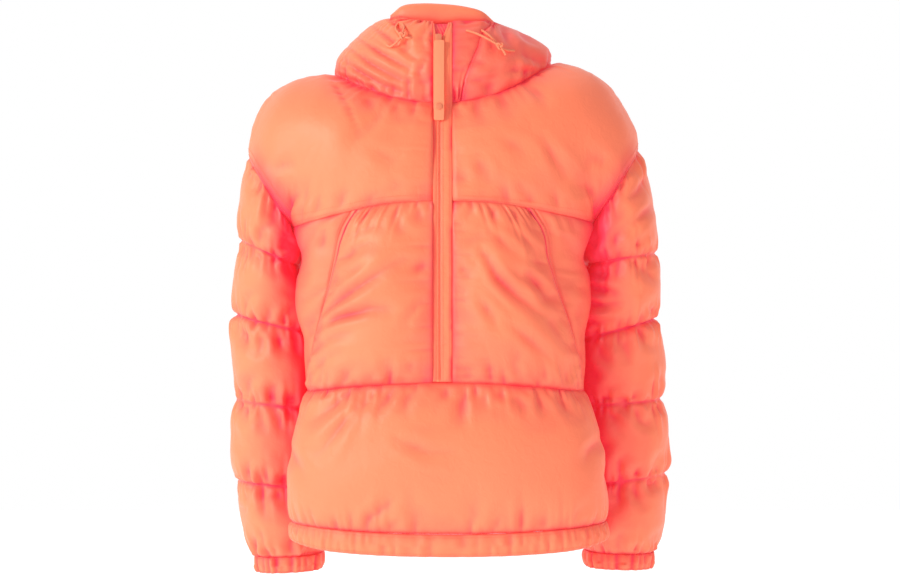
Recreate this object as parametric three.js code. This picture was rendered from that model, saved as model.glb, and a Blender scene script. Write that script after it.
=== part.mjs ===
// Hooded half-zip puffer jacket, filled out as if worn, hollow inside.
// Millimetres, +Z up, the front faces -Y and +X is the wearer's left side.
// The origin is the middle of the neck base, where the shoulders carry it.
import * as THREE from "three";
import * as BufferGeometryUtils from "three/addons/utils/BufferGeometryUtils.js";

// Driving dimensions
const SEAM_GAP = 0.4; // between two sewn pieces
const SEAM_RISE = 1.6; // outer cloth above the seam surface, at a seam
const ARMPIT_RISE = 0.1; // where the sleeve folds against the body
const LINING_DROP = 1.4; // plain inner cloth below the seam surface
const SLEEVE_CLEAR = 3.5; // between a sleeve and the body beside it
const SIDE_PUFF = 7; // body padding under the arm
const SAFE_REACH = { arm: 9, hem: 23 }; // from the body's seam surface to a sleeve
const PLACKET_WIDTH = 26;
const BACK_QUILT_ROWS = 2;
const CUFF_GATHERS = 20;

const CLOTH_LIGHT = 0xff9c6c;
const CLOTH_MID = 0xff8560;
const TRIM = 0xf77c58;
const METAL = 0xb9a08c;

const material = (color, roughness = 0.62, metalness = 0) =>
  new THREE.MeshStandardMaterial({ color, roughness, metalness });

const radians = THREE.MathUtils.degToRad;
const lerp = THREE.MathUtils.lerp;
const clamp01 = (value) => THREE.MathUtils.clamp(value, 0, 1);
const smooth = (from, to, value) => {
  const x = clamp01((value - from) / (to - from));
  return x * x * (3 - 2 * x);
};
const pillow = (value) => Math.pow(Math.max(Math.sin(Math.PI * clamp01(value)), 0), 0.6);

// Smooth interpolation through a table whose rows are in order of one column
function tableAt(rows, column, key, value) {
  const last = rows.length - 1;
  const rising = rows[last][key] > rows[0][key];
  let i = 0;
  while (i < last - 1 && (rising ? value > rows[i + 1][key] : value < rows[i + 1][key])) i++;
  const span = rows[i + 1][key] - rows[i][key];
  const x = clamp01((value - rows[i][key]) / span);
  const slope = (j) => {
    const before = rows[Math.max(j - 1, 0)];
    const after = rows[Math.min(j + 1, last)];
    return ((after[column] - before[column]) / (after[key] - before[key])) * span;
  };
  const x2 = x * x;
  const x3 = x2 * x;
  return (
    (2 * x3 - 3 * x2 + 1) * rows[i][column] +
    (x3 - 2 * x2 + x) * slope(i) +
    (3 * x2 - 2 * x3) * rows[i + 1][column] +
    (x3 - x2) * slope(i + 1)
  );
}

// Body sections at the seam surface, from the hem up
const BODY = [
  { z: -640, middle: 8, half: 214, wide: -42, front: -134, back: 112, square: 2.15 },
  { z: -600, middle: 8, half: 213, wide: -42, front: -138, back: 114, square: 2.15 },
  { z: -540, middle: 6, half: 206, wide: -42, front: -142, back: 116, square: 2.15 },
  { z: -480, middle: 6, half: 197, wide: -42, front: -142, back: 116, square: 2.15 },
  { z: -420, middle: 4, half: 188, wide: -40, front: -138, back: 114, square: 2.15 },
  { z: -310, middle: 1, half: 183, wide: -24, front: -142, back: 116, square: 2.3 },
  { z: -235, middle: -1, half: 185, wide: -6, front: -144, back: 116, square: 2.6 },
  { z: -205, middle: 0, half: 194, wide: 4, front: -143, back: 114, square: 2.9 },
  { z: -190, middle: 0, half: 198, wide: 5, front: -142, back: 112, square: 3 },
  { z: -140, middle: 0, half: 202, wide: 5, front: -136, back: 104, square: 3 },
];
const FRONT_SQUARE = 2.4;

function bodySection(z) {
  const at = (column) => tableAt(BODY, column, "z", z);
  return {
    middle: at("middle"),
    half: at("half"),
    wide: at("wide"),
    front: at("front"),
    back: at("back"),
    square: at("square"),
  };
}

// Angle 0 is the centre front and 180 the centre back; side is -1 or +1
function bodyPoint(side, angle, z) {
  const section = bodySection(z);
  const sine = Math.max(Math.sin(radians(angle)), 0);
  const cosine = Math.cos(radians(angle));
  const power = 2 / (cosine > 0 ? FRONT_SQUARE : section.square);
  const reach = cosine > 0 ? section.front : section.back;
  const x = section.middle + side * section.half * Math.pow(sine, power);
  const y = section.wide + (reach - section.wide) * Math.pow(Math.abs(cosine), power);
  return new THREE.Vector3(x, y, z);
}

// How far out the body's seam surface reaches at a place beside it
function bodyReach(side, y, z) {
  const section = bodySection(z);
  const inFront = y < section.wide;
  const power = inFront ? FRONT_SQUARE : section.square;
  const reach = inFront ? section.front : section.back;
  const part = clamp01((y - section.wide) / (reach - section.wide));
  return side * section.middle + section.half * Math.pow(1 - Math.pow(part, power), 1 / power);
}

// Sleeve rings at their seams: outer and inner end of the slanted ring,
// its middle depth and half depth, and the padding below each seam
const SLEEVES = {
  "-1": [
    { ring: 0, outerX: 268, outerZ: -95, innerX: 199, innerZ: -207, y: 6, deep: 80 },
    { ring: 1, outerX: 279, outerZ: -210, innerX: 201, innerZ: -246, y: 14, deep: 72 },
    { ring: 2, outerX: 288, outerZ: -314, innerX: 186, innerZ: -340, y: 38, deep: 70 },
    { ring: 3, outerX: 291, outerZ: -434, innerX: 176, innerZ: -448, y: 56, deep: 69 },
    { ring: 4, outerX: 291, outerZ: -550, innerX: 174, innerZ: -560, y: 76, deep: 62 },
    { ring: 5, outerX: 268, outerZ: -660, innerX: 175, innerZ: -656, y: 88, deep: 46 },
  ],
  "1": [
    { ring: 0, outerX: 270, outerZ: -86, innerX: 199, innerZ: -200, y: 6, deep: 80 },
    { ring: 1, outerX: 294, outerZ: -228, innerX: 201, innerZ: -243, y: 14, deep: 72 },
    { ring: 2, outerX: 295, outerZ: -320, innerX: 190, innerZ: -350, y: 38, deep: 70 },
    { ring: 3, outerX: 306, outerZ: -434, innerX: 190, innerZ: -442, y: 56, deep: 69 },
    { ring: 4, outerX: 314, outerZ: -541, innerX: 194, innerZ: -556, y: 76, deep: 62 },
    { ring: 5, outerX: 300, outerZ: -655, innerX: 206, innerZ: -653, y: 88, deep: 46 },
  ],
};
const SLEEVE_PUFF = { "-1": 6, "1": 9 };
const SLEEVE_START = { shoulder: 0.0012, armpit: 0.006 }; // parts of the sleeve's length
const RING_SQUARE = 2.35;

// Angle 0 is the outer end of the ring, 90 the front and 180 the inner end
function sleevePoint(side, ring, angle) {
  const at = (column) => tableAt(SLEEVES[side], column, "ring", ring);
  const power = 2 / RING_SQUARE;
  const round = (value) => Math.sign(value) * Math.pow(Math.abs(value), power);
  const across = round(Math.cos(radians(angle)));
  const deep = round(Math.sin(radians(angle)));
  const x = (at("outerX") + at("innerX")) / 2 + ((at("outerX") - at("innerX")) / 2) * across;
  const z = (at("outerZ") + at("innerZ")) / 2 + ((at("outerZ") - at("innerZ")) / 2) * across;
  const y = at("y") - at("deep") * deep;
  return new THREE.Vector3(side * x, y, z);
}

// Armhole: the front and back corners lie where the yoke seams end
const CORNER_ANGLE = { front: 138, back: 222 };
const BODY_CORNER = { front: 74, back: 116 };
const YOKE_SEAM = {
  "-1": { frontMiddle: -161, backMiddle: -150 },
  "1": { frontMiddle: -161, backMiddle: -150 },
};

function armholeAngle(angle) {
  const x = (angle - BODY_CORNER.front) / (BODY_CORNER.back - BODY_CORNER.front);
  return lerp(CORNER_ANGLE.front, CORNER_ANGLE.back, clamp01(x));
}

// Height of the upper edge of the body below the yoke and the armhole
function topHeight(side, angle) {
  const corner = (name) => sleevePoint(side, 0, CORNER_ANGLE[name]).z;
  if (angle < BODY_CORNER.front) {
    const x = smooth(0, BODY_CORNER.front + 6, angle);
    return lerp(YOKE_SEAM[side].frontMiddle, corner("front"), x);
  }
  if (angle > BODY_CORNER.back) {
    const x = smooth(180, BODY_CORNER.back - 6, angle);
    return lerp(YOKE_SEAM[side].backMiddle, corner("back"), x);
  }
  return sleevePoint(side, 0, armholeAngle(angle)).z;
}

// The body's upper edge flares out to meet the armhole
function armholeFlare(side, angle) {
  const flareAt = (bodyAngle) =>
    sleevePoint(side, 0, armholeAngle(bodyAngle)).sub(
      bodyPoint(side, bodyAngle, topHeight(side, bodyAngle)),
    );
  if (angle < BODY_CORNER.front) {
    return flareAt(BODY_CORNER.front).multiplyScalar(smooth(22, BODY_CORNER.front, angle));
  }
  if (angle > BODY_CORNER.back) {
    return flareAt(BODY_CORNER.back).multiplyScalar(smooth(165, BODY_CORNER.back, angle));
  }
  return flareAt(angle);
}

const MID_SEAM = { middle: -404, side: -418 };
const midHeight = (angle) => lerp(MID_SEAM.middle, MID_SEAM.side, smooth(0, 80, angle));
const HEM_SEAM = { middle: -606, side: -598 };
const hemHeight = (angle) => lerp(HEM_SEAM.middle, HEM_SEAM.side, smooth(0, 80, angle));

// Upper body between the mid seam (0) and the yoke seam or armhole (1)
function upperBody(side, angle, rise) {
  const z = lerp(midHeight(angle), topHeight(side, angle), rise);
  const point = bodyPoint(side, angle, z);
  const flare = armholeFlare(side, angle).multiplyScalar(Math.pow(clamp01((rise - 0.72) / 0.28), 1.4));
  return point.add(flare);
}

// Lower body between the hem seam (0) and the mid seam (1)
function lowerBody(side, angle, rise) {
  return bodyPoint(side, angle, lerp(hemHeight(angle), midHeight(angle), rise));
}

// Closed wall from rows of outer and inner points with equal column counts
function wallGeometry(outer, inner, closedRound) {
  const columns = outer[0].length;
  const positions = [];
  const index = [];
  const addRows = (rows) =>
    rows.map((row) =>
      row.map((point) => {
        positions.push(point.x, point.y, point.z);
        return positions.length / 3 - 1;
      }),
    );
  const out = addRows(outer);
  const inn = addRows(inner);
  const spans = closedRound ? columns : columns - 1;
  const next = (j) => (j + 1) % columns;
  const quad = (a, b, c, d) => index.push(a, b, c, a, c, d);
  for (let i = 0; i < out.length - 1; i++) {
    for (let j = 0; j < spans; j++) {
      quad(out[i][j], out[i][next(j)], out[i + 1][next(j)], out[i + 1][j]);
    }
  }
  for (let i = 0; i < inn.length - 1; i++) {
    for (let j = 0; j < spans; j++) {
      quad(inn[i][next(j)], inn[i][j], inn[i + 1][j], inn[i + 1][next(j)]);
    }
  }
  const topOut = out[out.length - 1];
  const topInn = inn[inn.length - 1];
  for (let j = 0; j < spans; j++) {
    quad(inn[0][j], inn[0][next(j)], out[0][next(j)], out[0][j]);
    quad(topOut[j], topOut[next(j)], topInn[next(j)], topInn[j]);
  }
  const closeSide = (a, b, flip) => {
    let i = 0;
    let j = 0;
    while (i < a.length - 1 || j < b.length - 1) {
      const stepA = j === b.length - 1 || (i < a.length - 1 && (i + 1) / a.length <= (j + 1) / b.length);
      const corner = stepA ? a[i + 1] : b[j + 1];
      if (flip) index.push(a[i], corner, b[j]);
      else index.push(a[i], b[j], corner);
      if (stepA) i++;
      else j++;
    }
  };
  if (!closedRound) {
    closeSide(out.map((row) => row[0]), inn.map((row) => row[0]), true);
    closeSide(out.map((row) => row[columns - 1]), inn.map((row) => row[columns - 1]), false);
  }
  const geometry = new THREE.BufferGeometry();
  geometry.setAttribute("position", new THREE.Float32BufferAttribute(positions, 3));
  geometry.setIndex(index);
  const merged = BufferGeometryUtils.mergeVertices(geometry, 1e-4);
  if (signedVolume(merged) < 0) merged.setIndex(Array.from(merged.index.array).reverse());
  merged.computeVertexNormals();
  return merged;
}

function signedVolume(geometry) {
  const position = geometry.attributes.position;
  const index = geometry.index.array;
  const [a, b, c] = [new THREE.Vector3(), new THREE.Vector3(), new THREE.Vector3()];
  let volume = 0;
  for (let i = 0; i < index.length; i += 3) {
    a.fromBufferAttribute(position, index[i]);
    b.fromBufferAttribute(position, index[i + 1]);
    c.fromBufferAttribute(position, index[i + 2]);
    volume += a.dot(b.cross(c)) / 6;
  }
  return volume;
}

// Outward normal of a surface, away from the body's inside
function surfaceNormal(surface, across, rise, outward) {
  const step = 0.004;
  const clampStep = (value) => THREE.MathUtils.clamp(value, step, 1 - step);
  const u = clampStep(across);
  const v = clampStep(rise);
  const alongU = surface(u + step, v).sub(surface(u - step, v));
  const alongV = surface(u, v + step).sub(surface(u, v - step));
  return alongU.cross(alongV).multiplyScalar(outward).normalize();
}

const jacket = new THREE.Group();

function addMesh(name, geometry, look) {
  const mesh = new THREE.Mesh(geometry, look);
  mesh.name = name;
  jacket.add(mesh);
}

// One sewn piece: a padded wall over the surface, plain on its inside
function addPanel(name, look, panel) {
  const { surface, columns, rows, innerRows = 4, outward, puff, width, height } = panel;
  const seamRise = panel.seamRise ?? (() => SEAM_RISE);
  const trimU = SEAM_GAP / 2 / width;
  const trimV = SEAM_GAP / 2 / height;
  const grid = (rowCount, raise) => {
    const result = [];
    for (let i = 0; i <= rowCount; i++) {
      const row = [];
      for (let j = 0; j <= columns; j++) {
        const across = lerp(trimU, 1 - trimU, j / columns);
        const rise = lerp(trimV, 1 - trimV, i / rowCount);
        const normal = surfaceNormal(surface, across, rise, outward);
        row.push(surface(across, rise).addScaledVector(normal, raise(across, rise)));
      }
      result.push(row);
    }
    return result;
  };
  const outer = grid(rows, (across, rise) => seamRise(across, rise) + puff(across, rise));
  const inner = grid(innerRows, () => -LINING_DROP);
  addMesh(name, wallGeometry(outer, inner, false), look);
}

// The cloth is thin and flat along the armhole below the arm
const underArm = (angle) =>
  smooth(BODY_CORNER.front - 8, BODY_CORNER.front + 6, angle) *
  smooth(BODY_CORNER.back + 14, BODY_CORNER.back - 2, angle);
const armpitRise = (angle, rise) =>
  lerp(SEAM_RISE, ARMPIT_RISE, underArm(angle) * smooth(0.75, 1, rise));
const armpitPress = (angle, rise) => lerp(1, smooth(0.95, 0.7, rise), underArm(angle));

// Pocket line, from the mid seam up to the yoke seam
const POCKET_LINE = [
  { rise: 0, angle: 84 },
  { rise: 0.3, angle: 68 },
  { rise: 0.55, angle: 54 },
  { rise: 0.8, angle: 43 },
  { rise: 1, angle: 30 },
];
const pocketAngle = (rise) => tableAt(POCKET_LINE, "angle", "rise", rise);
const WELT_ANGLE = 3;
const WELT_PUFF = 2;
const SIDE_SEAM = 98;
const MID_PUFF = 22;
const LOWER_PUFF = 24;
const YOKE_PUFF = 15;
const YOKE_GAP = 1; // at the yoke's upper and lower edges
const BACK_PUFF = 20;

// Angle where the placket's edge meets a panel of the upper body
function placketAngle(side, rise) {
  const section = bodySection(lerp(MID_SEAM.middle, YOKE_SEAM[side].frontMiddle, rise));
  const part = (PLACKET_WIDTH / 2 - side * section.middle) / section.half;
  return THREE.MathUtils.radToDeg(Math.asin(Math.pow(part, FRONT_SQUARE / 2)));
}

const sideName = (side) => (side < 0 ? "right" : "left");

function addFrontPanels(side) {
  addPanel("front_mid_" + sideName(side), material(CLOTH_MID), {
    surface: (across, rise) =>
      upperBody(side, lerp(placketAngle(side, rise), pocketAngle(rise), across), rise),
    columns: 12,
    rows: 12,
    innerRows: 12,
    outward: side,
    width: 150,
    height: 240,
    puff: (across, rise) => MID_PUFF * pillow(rise) * pillow(lerp(0.12, 0.97, across)),
  });
  const sideAngle = (across, rise) =>
    lerp(pocketAngle(rise) + WELT_ANGLE, SIDE_SEAM, across);
  addPanel("pocket_welt_" + sideName(side), material(TRIM), {
    surface: (across, rise) =>
      upperBody(side, pocketAngle(rise) + WELT_ANGLE * across, rise),
    columns: 2,
    rows: 12,
    innerRows: 12,
    outward: side,
    width: 8,
    height: 240,
    puff: (across) => WELT_PUFF * pillow(across),
  });
  addPanel("side_panel_" + sideName(side), material(CLOTH_LIGHT), {
    surface: (across, rise) => upperBody(side, sideAngle(across, rise), rise),
    columns: 10,
    rows: 12,
    innerRows: 12,
    outward: side,
    width: 90,
    height: 215,
    seamRise: (across, rise) => armpitRise(sideAngle(across, rise), rise),
    puff: (across, rise) =>
      SIDE_PUFF *
      pillow(rise) *
      pillow(across) *
      armpitPress(sideAngle(across, rise), rise),
  });
}

// Around the body in one piece: across 0 is the wearer's right side seam
const roundFront = (across) => {
  const turn = lerp(-SIDE_SEAM, SIDE_SEAM, across);
  return { side: turn < 0 ? -1 : 1, angle: Math.abs(turn) };
};
const roundBack = (across) => {
  const turn = lerp(SIDE_SEAM, 360 - SIDE_SEAM, across);
  return { side: turn < 180 ? 1 : -1, angle: turn < 180 ? turn : 360 - turn };
};

function addLowerPanels() {
  const sidePress = (across) => lerp(0.45, 1, pillow(across));
  addPanel("front_lower", material(CLOTH_MID), {
    surface: (across, rise) => {
      const { side, angle } = roundFront(across);
      return lowerBody(side, angle, rise);
    },
    columns: 34,
    rows: 10,
    outward: 1,
    width: 560,
    height: 190,
    puff: (across, rise) =>
      LOWER_PUFF * pillow(rise) * sidePress(across) * Math.min(1, pillow(across) * 2),
  });
  addPanel("back_lower", material(CLOTH_MID), {
    surface: (across, rise) => {
      const { side, angle } = roundBack(across);
      return lowerBody(side, angle, rise);
    },
    columns: 28,
    rows: 10,
    outward: 1,
    width: 500,
    height: 190,
    puff: (across, rise) => BACK_PUFF * pillow(rise) * sidePress(across) * pillow(across),
  });
}

function addBackMid() {
  const quiltRow = (rise) => (rise * BACK_QUILT_ROWS) % 1;
  addPanel("back_mid", material(CLOTH_LIGHT), {
    surface: (across, rise) => {
      const { side, angle } = roundBack(across);
      return upperBody(side, angle, rise);
    },
    columns: 24,
    rows: 6 * BACK_QUILT_ROWS,
    outward: 1,
    width: 500,
    height: 240,
    seamRise: (across, rise) => armpitRise(roundBack(across).angle, rise),
    puff: (across, rise) =>
      BACK_PUFF *
      pillow(quiltRow(rise)) *
      pillow(across) *
      lerp(0.5, 1, pillow(across)) *
      armpitPress(roundBack(across).angle, rise),
  });
}

// Hem band: a gathered tunnel round the whole body
const HEM_DROP = { front: 30, side: 24 };
const HEM_PUFF = 7;
const HEM_GATHERS = 22;
function hemSurface(across, rise) {
  const turn = across * 360;
  const side = turn < 180 ? 1 : -1;
  const angle = turn < 180 ? turn : 360 - turn;
  const top = hemHeight(angle) - SEAM_GAP;
  const drop = lerp(HEM_DROP.front, HEM_DROP.side, smooth(40, 90, angle));
  return bodyPoint(side, angle, lerp(top - drop, top, rise));
}

function addRing(name, look, ring) {
  const { surface, columns, rows, innerRows, puff, outward } = ring;
  const seamRise = ring.seamRise ?? (() => SEAM_RISE);
  const grid = (rowCount, raise) => {
    const result = [];
    for (let i = 0; i <= rowCount; i++) {
      const row = [];
      for (let j = 0; j < columns; j++) {
        const across = j / columns;
        const rise = i / rowCount;
        const normal = surfaceNormal(surface, across, rise, outward);
        row.push(surface(across, rise).addScaledVector(normal, raise(across, rise)));
      }
      result.push(row);
    }
    return result;
  };
  const outer = grid(rows, (across, rise) => seamRise(across, rise) + puff(across, rise));
  const inner = grid(innerRows, () => -LINING_DROP);
  addMesh(name, wallGeometry(outer, inner, true), look);
}

function addHemBand() {
  const gather = (across) => 0.8 + 0.2 * Math.cos(2 * Math.PI * HEM_GATHERS * across);
  addRing("hem_band", material(TRIM), {
    surface: hemSurface,
    columns: HEM_GATHERS * 3,
    rows: 3,
    innerRows: 1,
    outward: 1,
    puff: (across, rise) => HEM_PUFF * pillow(lerp(0.1, 0.9, rise)) * gather(across),
  });
}

// Yoke over the shoulders, from the neck seam down to the armhole and chest
const NECK = { half: 148, front: -106, back: 84, frontZ: -27, backZ: 22, middleY: -4 };
const NECK_SIDE_Z = { "-1": 17, "1": 32 };
const NECK_SQUARE = 2.1;
function neckPoint(side, angle) {
  const power = 2 / NECK_SQUARE;
  const sine = Math.pow(Math.max(Math.sin(radians(angle)), 0), power);
  const cosine = Math.cos(radians(angle));
  const reach = (cosine > 0 ? NECK.front : NECK.back) - NECK.middleY;
  const end = cosine > 0 ? NECK.frontZ : NECK.backZ;
  const x = side * NECK.half * sine;
  const y = NECK.middleY + reach * Math.pow(Math.abs(cosine), power);
  return new THREE.Vector3(x, y, lerp(NECK_SIDE_Z[side], end, cosine * cosine));
}

// Directions in which the yoke leaves the neck and reaches its lower edge;
// turn is 0 at the centre front, 1 at the shoulder and 2 at the centre back
const YOKE_PATH = [
  { turn: 0, neckX: 0, neckY: -0.5, neckZ: -0.86, edgeX: 0, edgeY: -0.12, edgeZ: -0.99, bow: 0.36 },
  { turn: 0.3, neckX: 0.25, neckY: -0.6, neckZ: -0.7, edgeX: 0.1, edgeY: -0.02, edgeZ: -0.99, bow: 0.36 },
  { turn: 0.55, neckX: 0.6, neckY: -0.6, neckZ: -0.45, edgeX: 0.3, edgeY: 0.36, edgeZ: -0.88, bow: 0.42 },
  { turn: 0.8, neckX: 0.92, neckY: -0.3, neckZ: -0.16, edgeX: 0.36, edgeY: 0.16, edgeZ: -0.92, bow: 0.44 },
  { turn: 1, neckX: 0.99, neckY: 0, neckZ: -0.08, edgeX: 0.22, edgeY: 0, edgeZ: -0.97, bow: 0.44 },
  { turn: 1.2, neckX: 0.92, neckY: 0.3, neckZ: -0.2, edgeX: 0.36, edgeY: -0.16, edgeZ: -0.92, bow: 0.44 },
  { turn: 1.45, neckX: 0.6, neckY: 0.6, neckZ: -0.45, edgeX: 0.3, edgeY: -0.4, edgeZ: -0.86, bow: 0.42 },
  { turn: 1.7, neckX: 0.3, neckY: 0.7, neckZ: -0.6, edgeX: 0.1, edgeY: 0, edgeZ: -0.99, bow: 0.38 },
  { turn: 2, neckX: 0, neckY: 0.6, neckZ: -0.8, edgeX: 0, edgeY: 0.1, edgeZ: -0.99, bow: 0.36 },
];
const SHOULDER_BOW = { "-1": 1.18, "1": 0.93 };
const YOKE_CORNER = { front: 0.55, back: 1.45 };

// Lower edge of the yoke
function yokeEdge(side, turn) {
  const along = (angle) =>
    bodyPoint(side, angle, topHeight(side, angle)).add(armholeFlare(side, angle));
  if (turn < YOKE_CORNER.front) {
    const start = placketAngle(side, 1);
    return along(lerp(start, BODY_CORNER.front, turn / YOKE_CORNER.front));
  }
  if (turn > YOKE_CORNER.back) {
    return along(lerp(180, BODY_CORNER.back, (2 - turn) / (2 - YOKE_CORNER.back)));
  }
  if (turn < 1) {
    const x = (turn - YOKE_CORNER.front) / (1 - YOKE_CORNER.front);
    return sleevePoint(side, 0, lerp(CORNER_ANGLE.front, 0, x));
  }
  const x = (turn - 1) / (YOKE_CORNER.back - 1);
  return sleevePoint(side, 0, lerp(360, CORNER_ANGLE.back, x));
}

function yokePoint(side, turn, rise) {
  const at = (column) => tableAt(YOKE_PATH, column, "turn", turn);
  const start = Math.asin(Math.pow(PLACKET_WIDTH / 2 / NECK.half, NECK_SQUARE / 2));
  const neckAngle = lerp(THREE.MathUtils.radToDeg(start), 180, turn / 2);
  const neck = neckPoint(side, neckAngle);
  const edge = yokeEdge(side, turn);
  const bow = at("bow") * SHOULDER_BOW[side] * neck.distanceTo(edge);
  const leave = new THREE.Vector3(side * at("neckX"), at("neckY"), at("neckZ")).normalize();
  const arrive = new THREE.Vector3(side * at("edgeX"), at("edgeY"), at("edgeZ")).normalize();
  const path = new THREE.CubicBezierCurve3(
    edge,
    edge.clone().addScaledVector(arrive, -bow),
    neck.clone().addScaledVector(leave, bow),
    neck,
  );
  return path.getPoint(rise);
}

function addYoke(side) {
  const panels = [
    { name: "front_yoke_", from: 0, to: 1 },
    { name: "back_yoke_", from: 1, to: 2 },
  ];
  for (const { name, from, to } of panels) {
    addPanel(name + sideName(side), material(CLOTH_MID), {
      surface: (across, rise) => yokePoint(side, lerp(from, to, across), rise),
      columns: 16,
      rows: 10,
      outward: side,
      width: 200,
      height: 160 * (SEAM_GAP / YOKE_GAP),
      puff: (across, rise) =>
        YOKE_PUFF * pillow(rise) * lerp(0.2, 1, pillow(across)) * smooth(1, 0.93, rise),
    });
  }
}

// Sleeves: baffled tubes whose ring seams follow the table
function addSleeve(side) {
  const rings = SLEEVES[side].length - 1;
  const facing = (across) => smooth(66, 34, Math.abs(across * 360 - 180));
  addRing("sleeve_" + sideName(side), material(CLOTH_LIGHT), {
    surface: (across, fall) => {
      const start = lerp(SLEEVE_START.shoulder, SLEEVE_START.armpit, facing(across));
      const ring = lerp(start, 0.9993, fall) * rings;
      const point = sleevePoint(side, ring, across * 360);
      const reach = lerp(SAFE_REACH.arm, SAFE_REACH.hem, smooth(2.4, 3.8, ring));
      return clearOfBody(side, point, smooth(0, 0.25, ring) * (reach + SLEEVE_CLEAR));
    },
    columns: 26,
    rows: rings * 5,
    innerRows: rings,
    outward: side,
    seamRise: (across, fall) =>
      lerp(SEAM_RISE, ARMPIT_RISE, facing(across) * smooth(0.1, 0, fall)),
    puff: (across, fall) => {
      const baffle = pillow((fall * rings) % 1);
      return SLEEVE_PUFF[side] * baffle * lerp(1, 0.2, facing(across));
    },
  });
}

// Moves a sleeve point sideways until it is clear of the body
function clearOfBody(side, point, margin) {
  if (margin <= 0) return point;
  const least = bodyReach(side, point.y, point.z) + margin;
  const reach = Math.abs(point.x);
  const soft = 6;
  const pushed = (reach + least + Math.sqrt((reach - least) ** 2 + soft * soft)) / 2;
  point.x = side * pushed;
  return point;
}

// Elastic cuffs, gathered, below the sleeves' last seam
const CUFF = { height: 23, taper: 3, puff: 6, start: 0.5 };
function addCuff(side) {
  const top = SLEEVES[side].length - 1;
  addRing("cuff_" + sideName(side), material(TRIM), {
    surface: (across, fall) => {
      const point = sleevePoint(side, top, across * 360);
      const middle = sleevePoint(side, top, 0).add(sleevePoint(side, top, 180)).divideScalar(2);
      const inward = middle.sub(point).setZ(0).normalize();
      point.addScaledVector(inward, CUFF.taper * fall);
      point.z -= CUFF.start + CUFF.height * fall;
      return point;
    },
    columns: CUFF_GATHERS * 3,
    rows: 3,
    innerRows: 1,
    outward: side,
    puff: (across, fall) =>
      CUFF.puff *
      pillow(lerp(0.12, 0.88, fall)) *
      (0.62 + 0.38 * Math.cos(2 * Math.PI * CUFF_GATHERS * across)),
  });
}

// Hood, worn down as a funnel round the neck; rise 0 is the neck seam and
// rise 1 the rim of the small opening that is left at the top
const HOOD = [
  { rise: 0, right: 148, left: 148, front: -106, back: 84, frontZ: -27, rightZ: 17, leftZ: 32, backZ: 22 },
  { rise: 0.3, right: 141, left: 145, front: -110, back: 98, frontZ: 12, rightZ: 40, leftZ: 48, backZ: 54 },
  { rise: 0.55, right: 117, left: 122, front: -106, back: 98, frontZ: 42, rightZ: 64, leftZ: 64, backZ: 84 },
  { rise: 0.78, right: 88, left: 93, front: -98, back: 74, frontZ: 66, rightZ: 86, leftZ: 81, backZ: 99 },
  { rise: 1, right: 60, left: 58, front: -86, back: -50, frontZ: 84, rightZ: 92, leftZ: 87, backZ: 100 },
];
const HOOD_SQUARE = 2.1;
const HOOD_LIFT = 2.2; // between the yoke's neck edge and the hood
const HOOD_PUFF = 7;
const HOOD_GAP = 1.9; // at the hood's side seams

function hoodPoint(side, angle, rise) {
  const at = (column) => tableAt(HOOD, column, "rise", rise);
  const power = 2 / HOOD_SQUARE;
  const sine = Math.pow(Math.max(Math.sin(radians(angle)), 0), power);
  const cosine = Math.cos(radians(angle));
  const half = at(side < 0 ? "right" : "left");
  const sideZ = at(side < 0 ? "rightZ" : "leftZ");
  const middleY = lerp(NECK.middleY, (at("front") + at("back")) / 2, smooth(0, 1, rise));
  const reach = at(cosine > 0 ? "front" : "back") - middleY;
  const endZ = at(cosine > 0 ? "frontZ" : "backZ");
  return new THREE.Vector3(
    side * half * sine,
    middleY + reach * Math.pow(Math.abs(cosine), power),
    lerp(sideZ, endZ, cosine * cosine) + HOOD_LIFT,
  );
}

// Front edge of the collar beside the zip
function collarEdge(side, rise) {
  const half = tableAt(HOOD, side < 0 ? "right" : "left", "rise", rise);
  const part = Math.pow(PLACKET_WIDTH / 2 / half, HOOD_SQUARE / 2);
  return THREE.MathUtils.radToDeg(Math.asin(part));
}

// Seam that runs from the zip's lower end up to the rim on the wearer's left
const COLLAR_SEAM = [
  { rise: 0, angle: 8 },
  { rise: 0.3, angle: 12 },
  { rise: 0.55, angle: 21 },
  { rise: 0.78, angle: 36 },
  { rise: 1, angle: 80 },
];
const collarSeam = (rise) => tableAt(COLLAR_SEAM, "angle", "rise", rise);
const HOOD_SIDE = 100;
const COLLAR_PLEATS = 7;
const PLEAT_DEPTH = 3;

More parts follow.
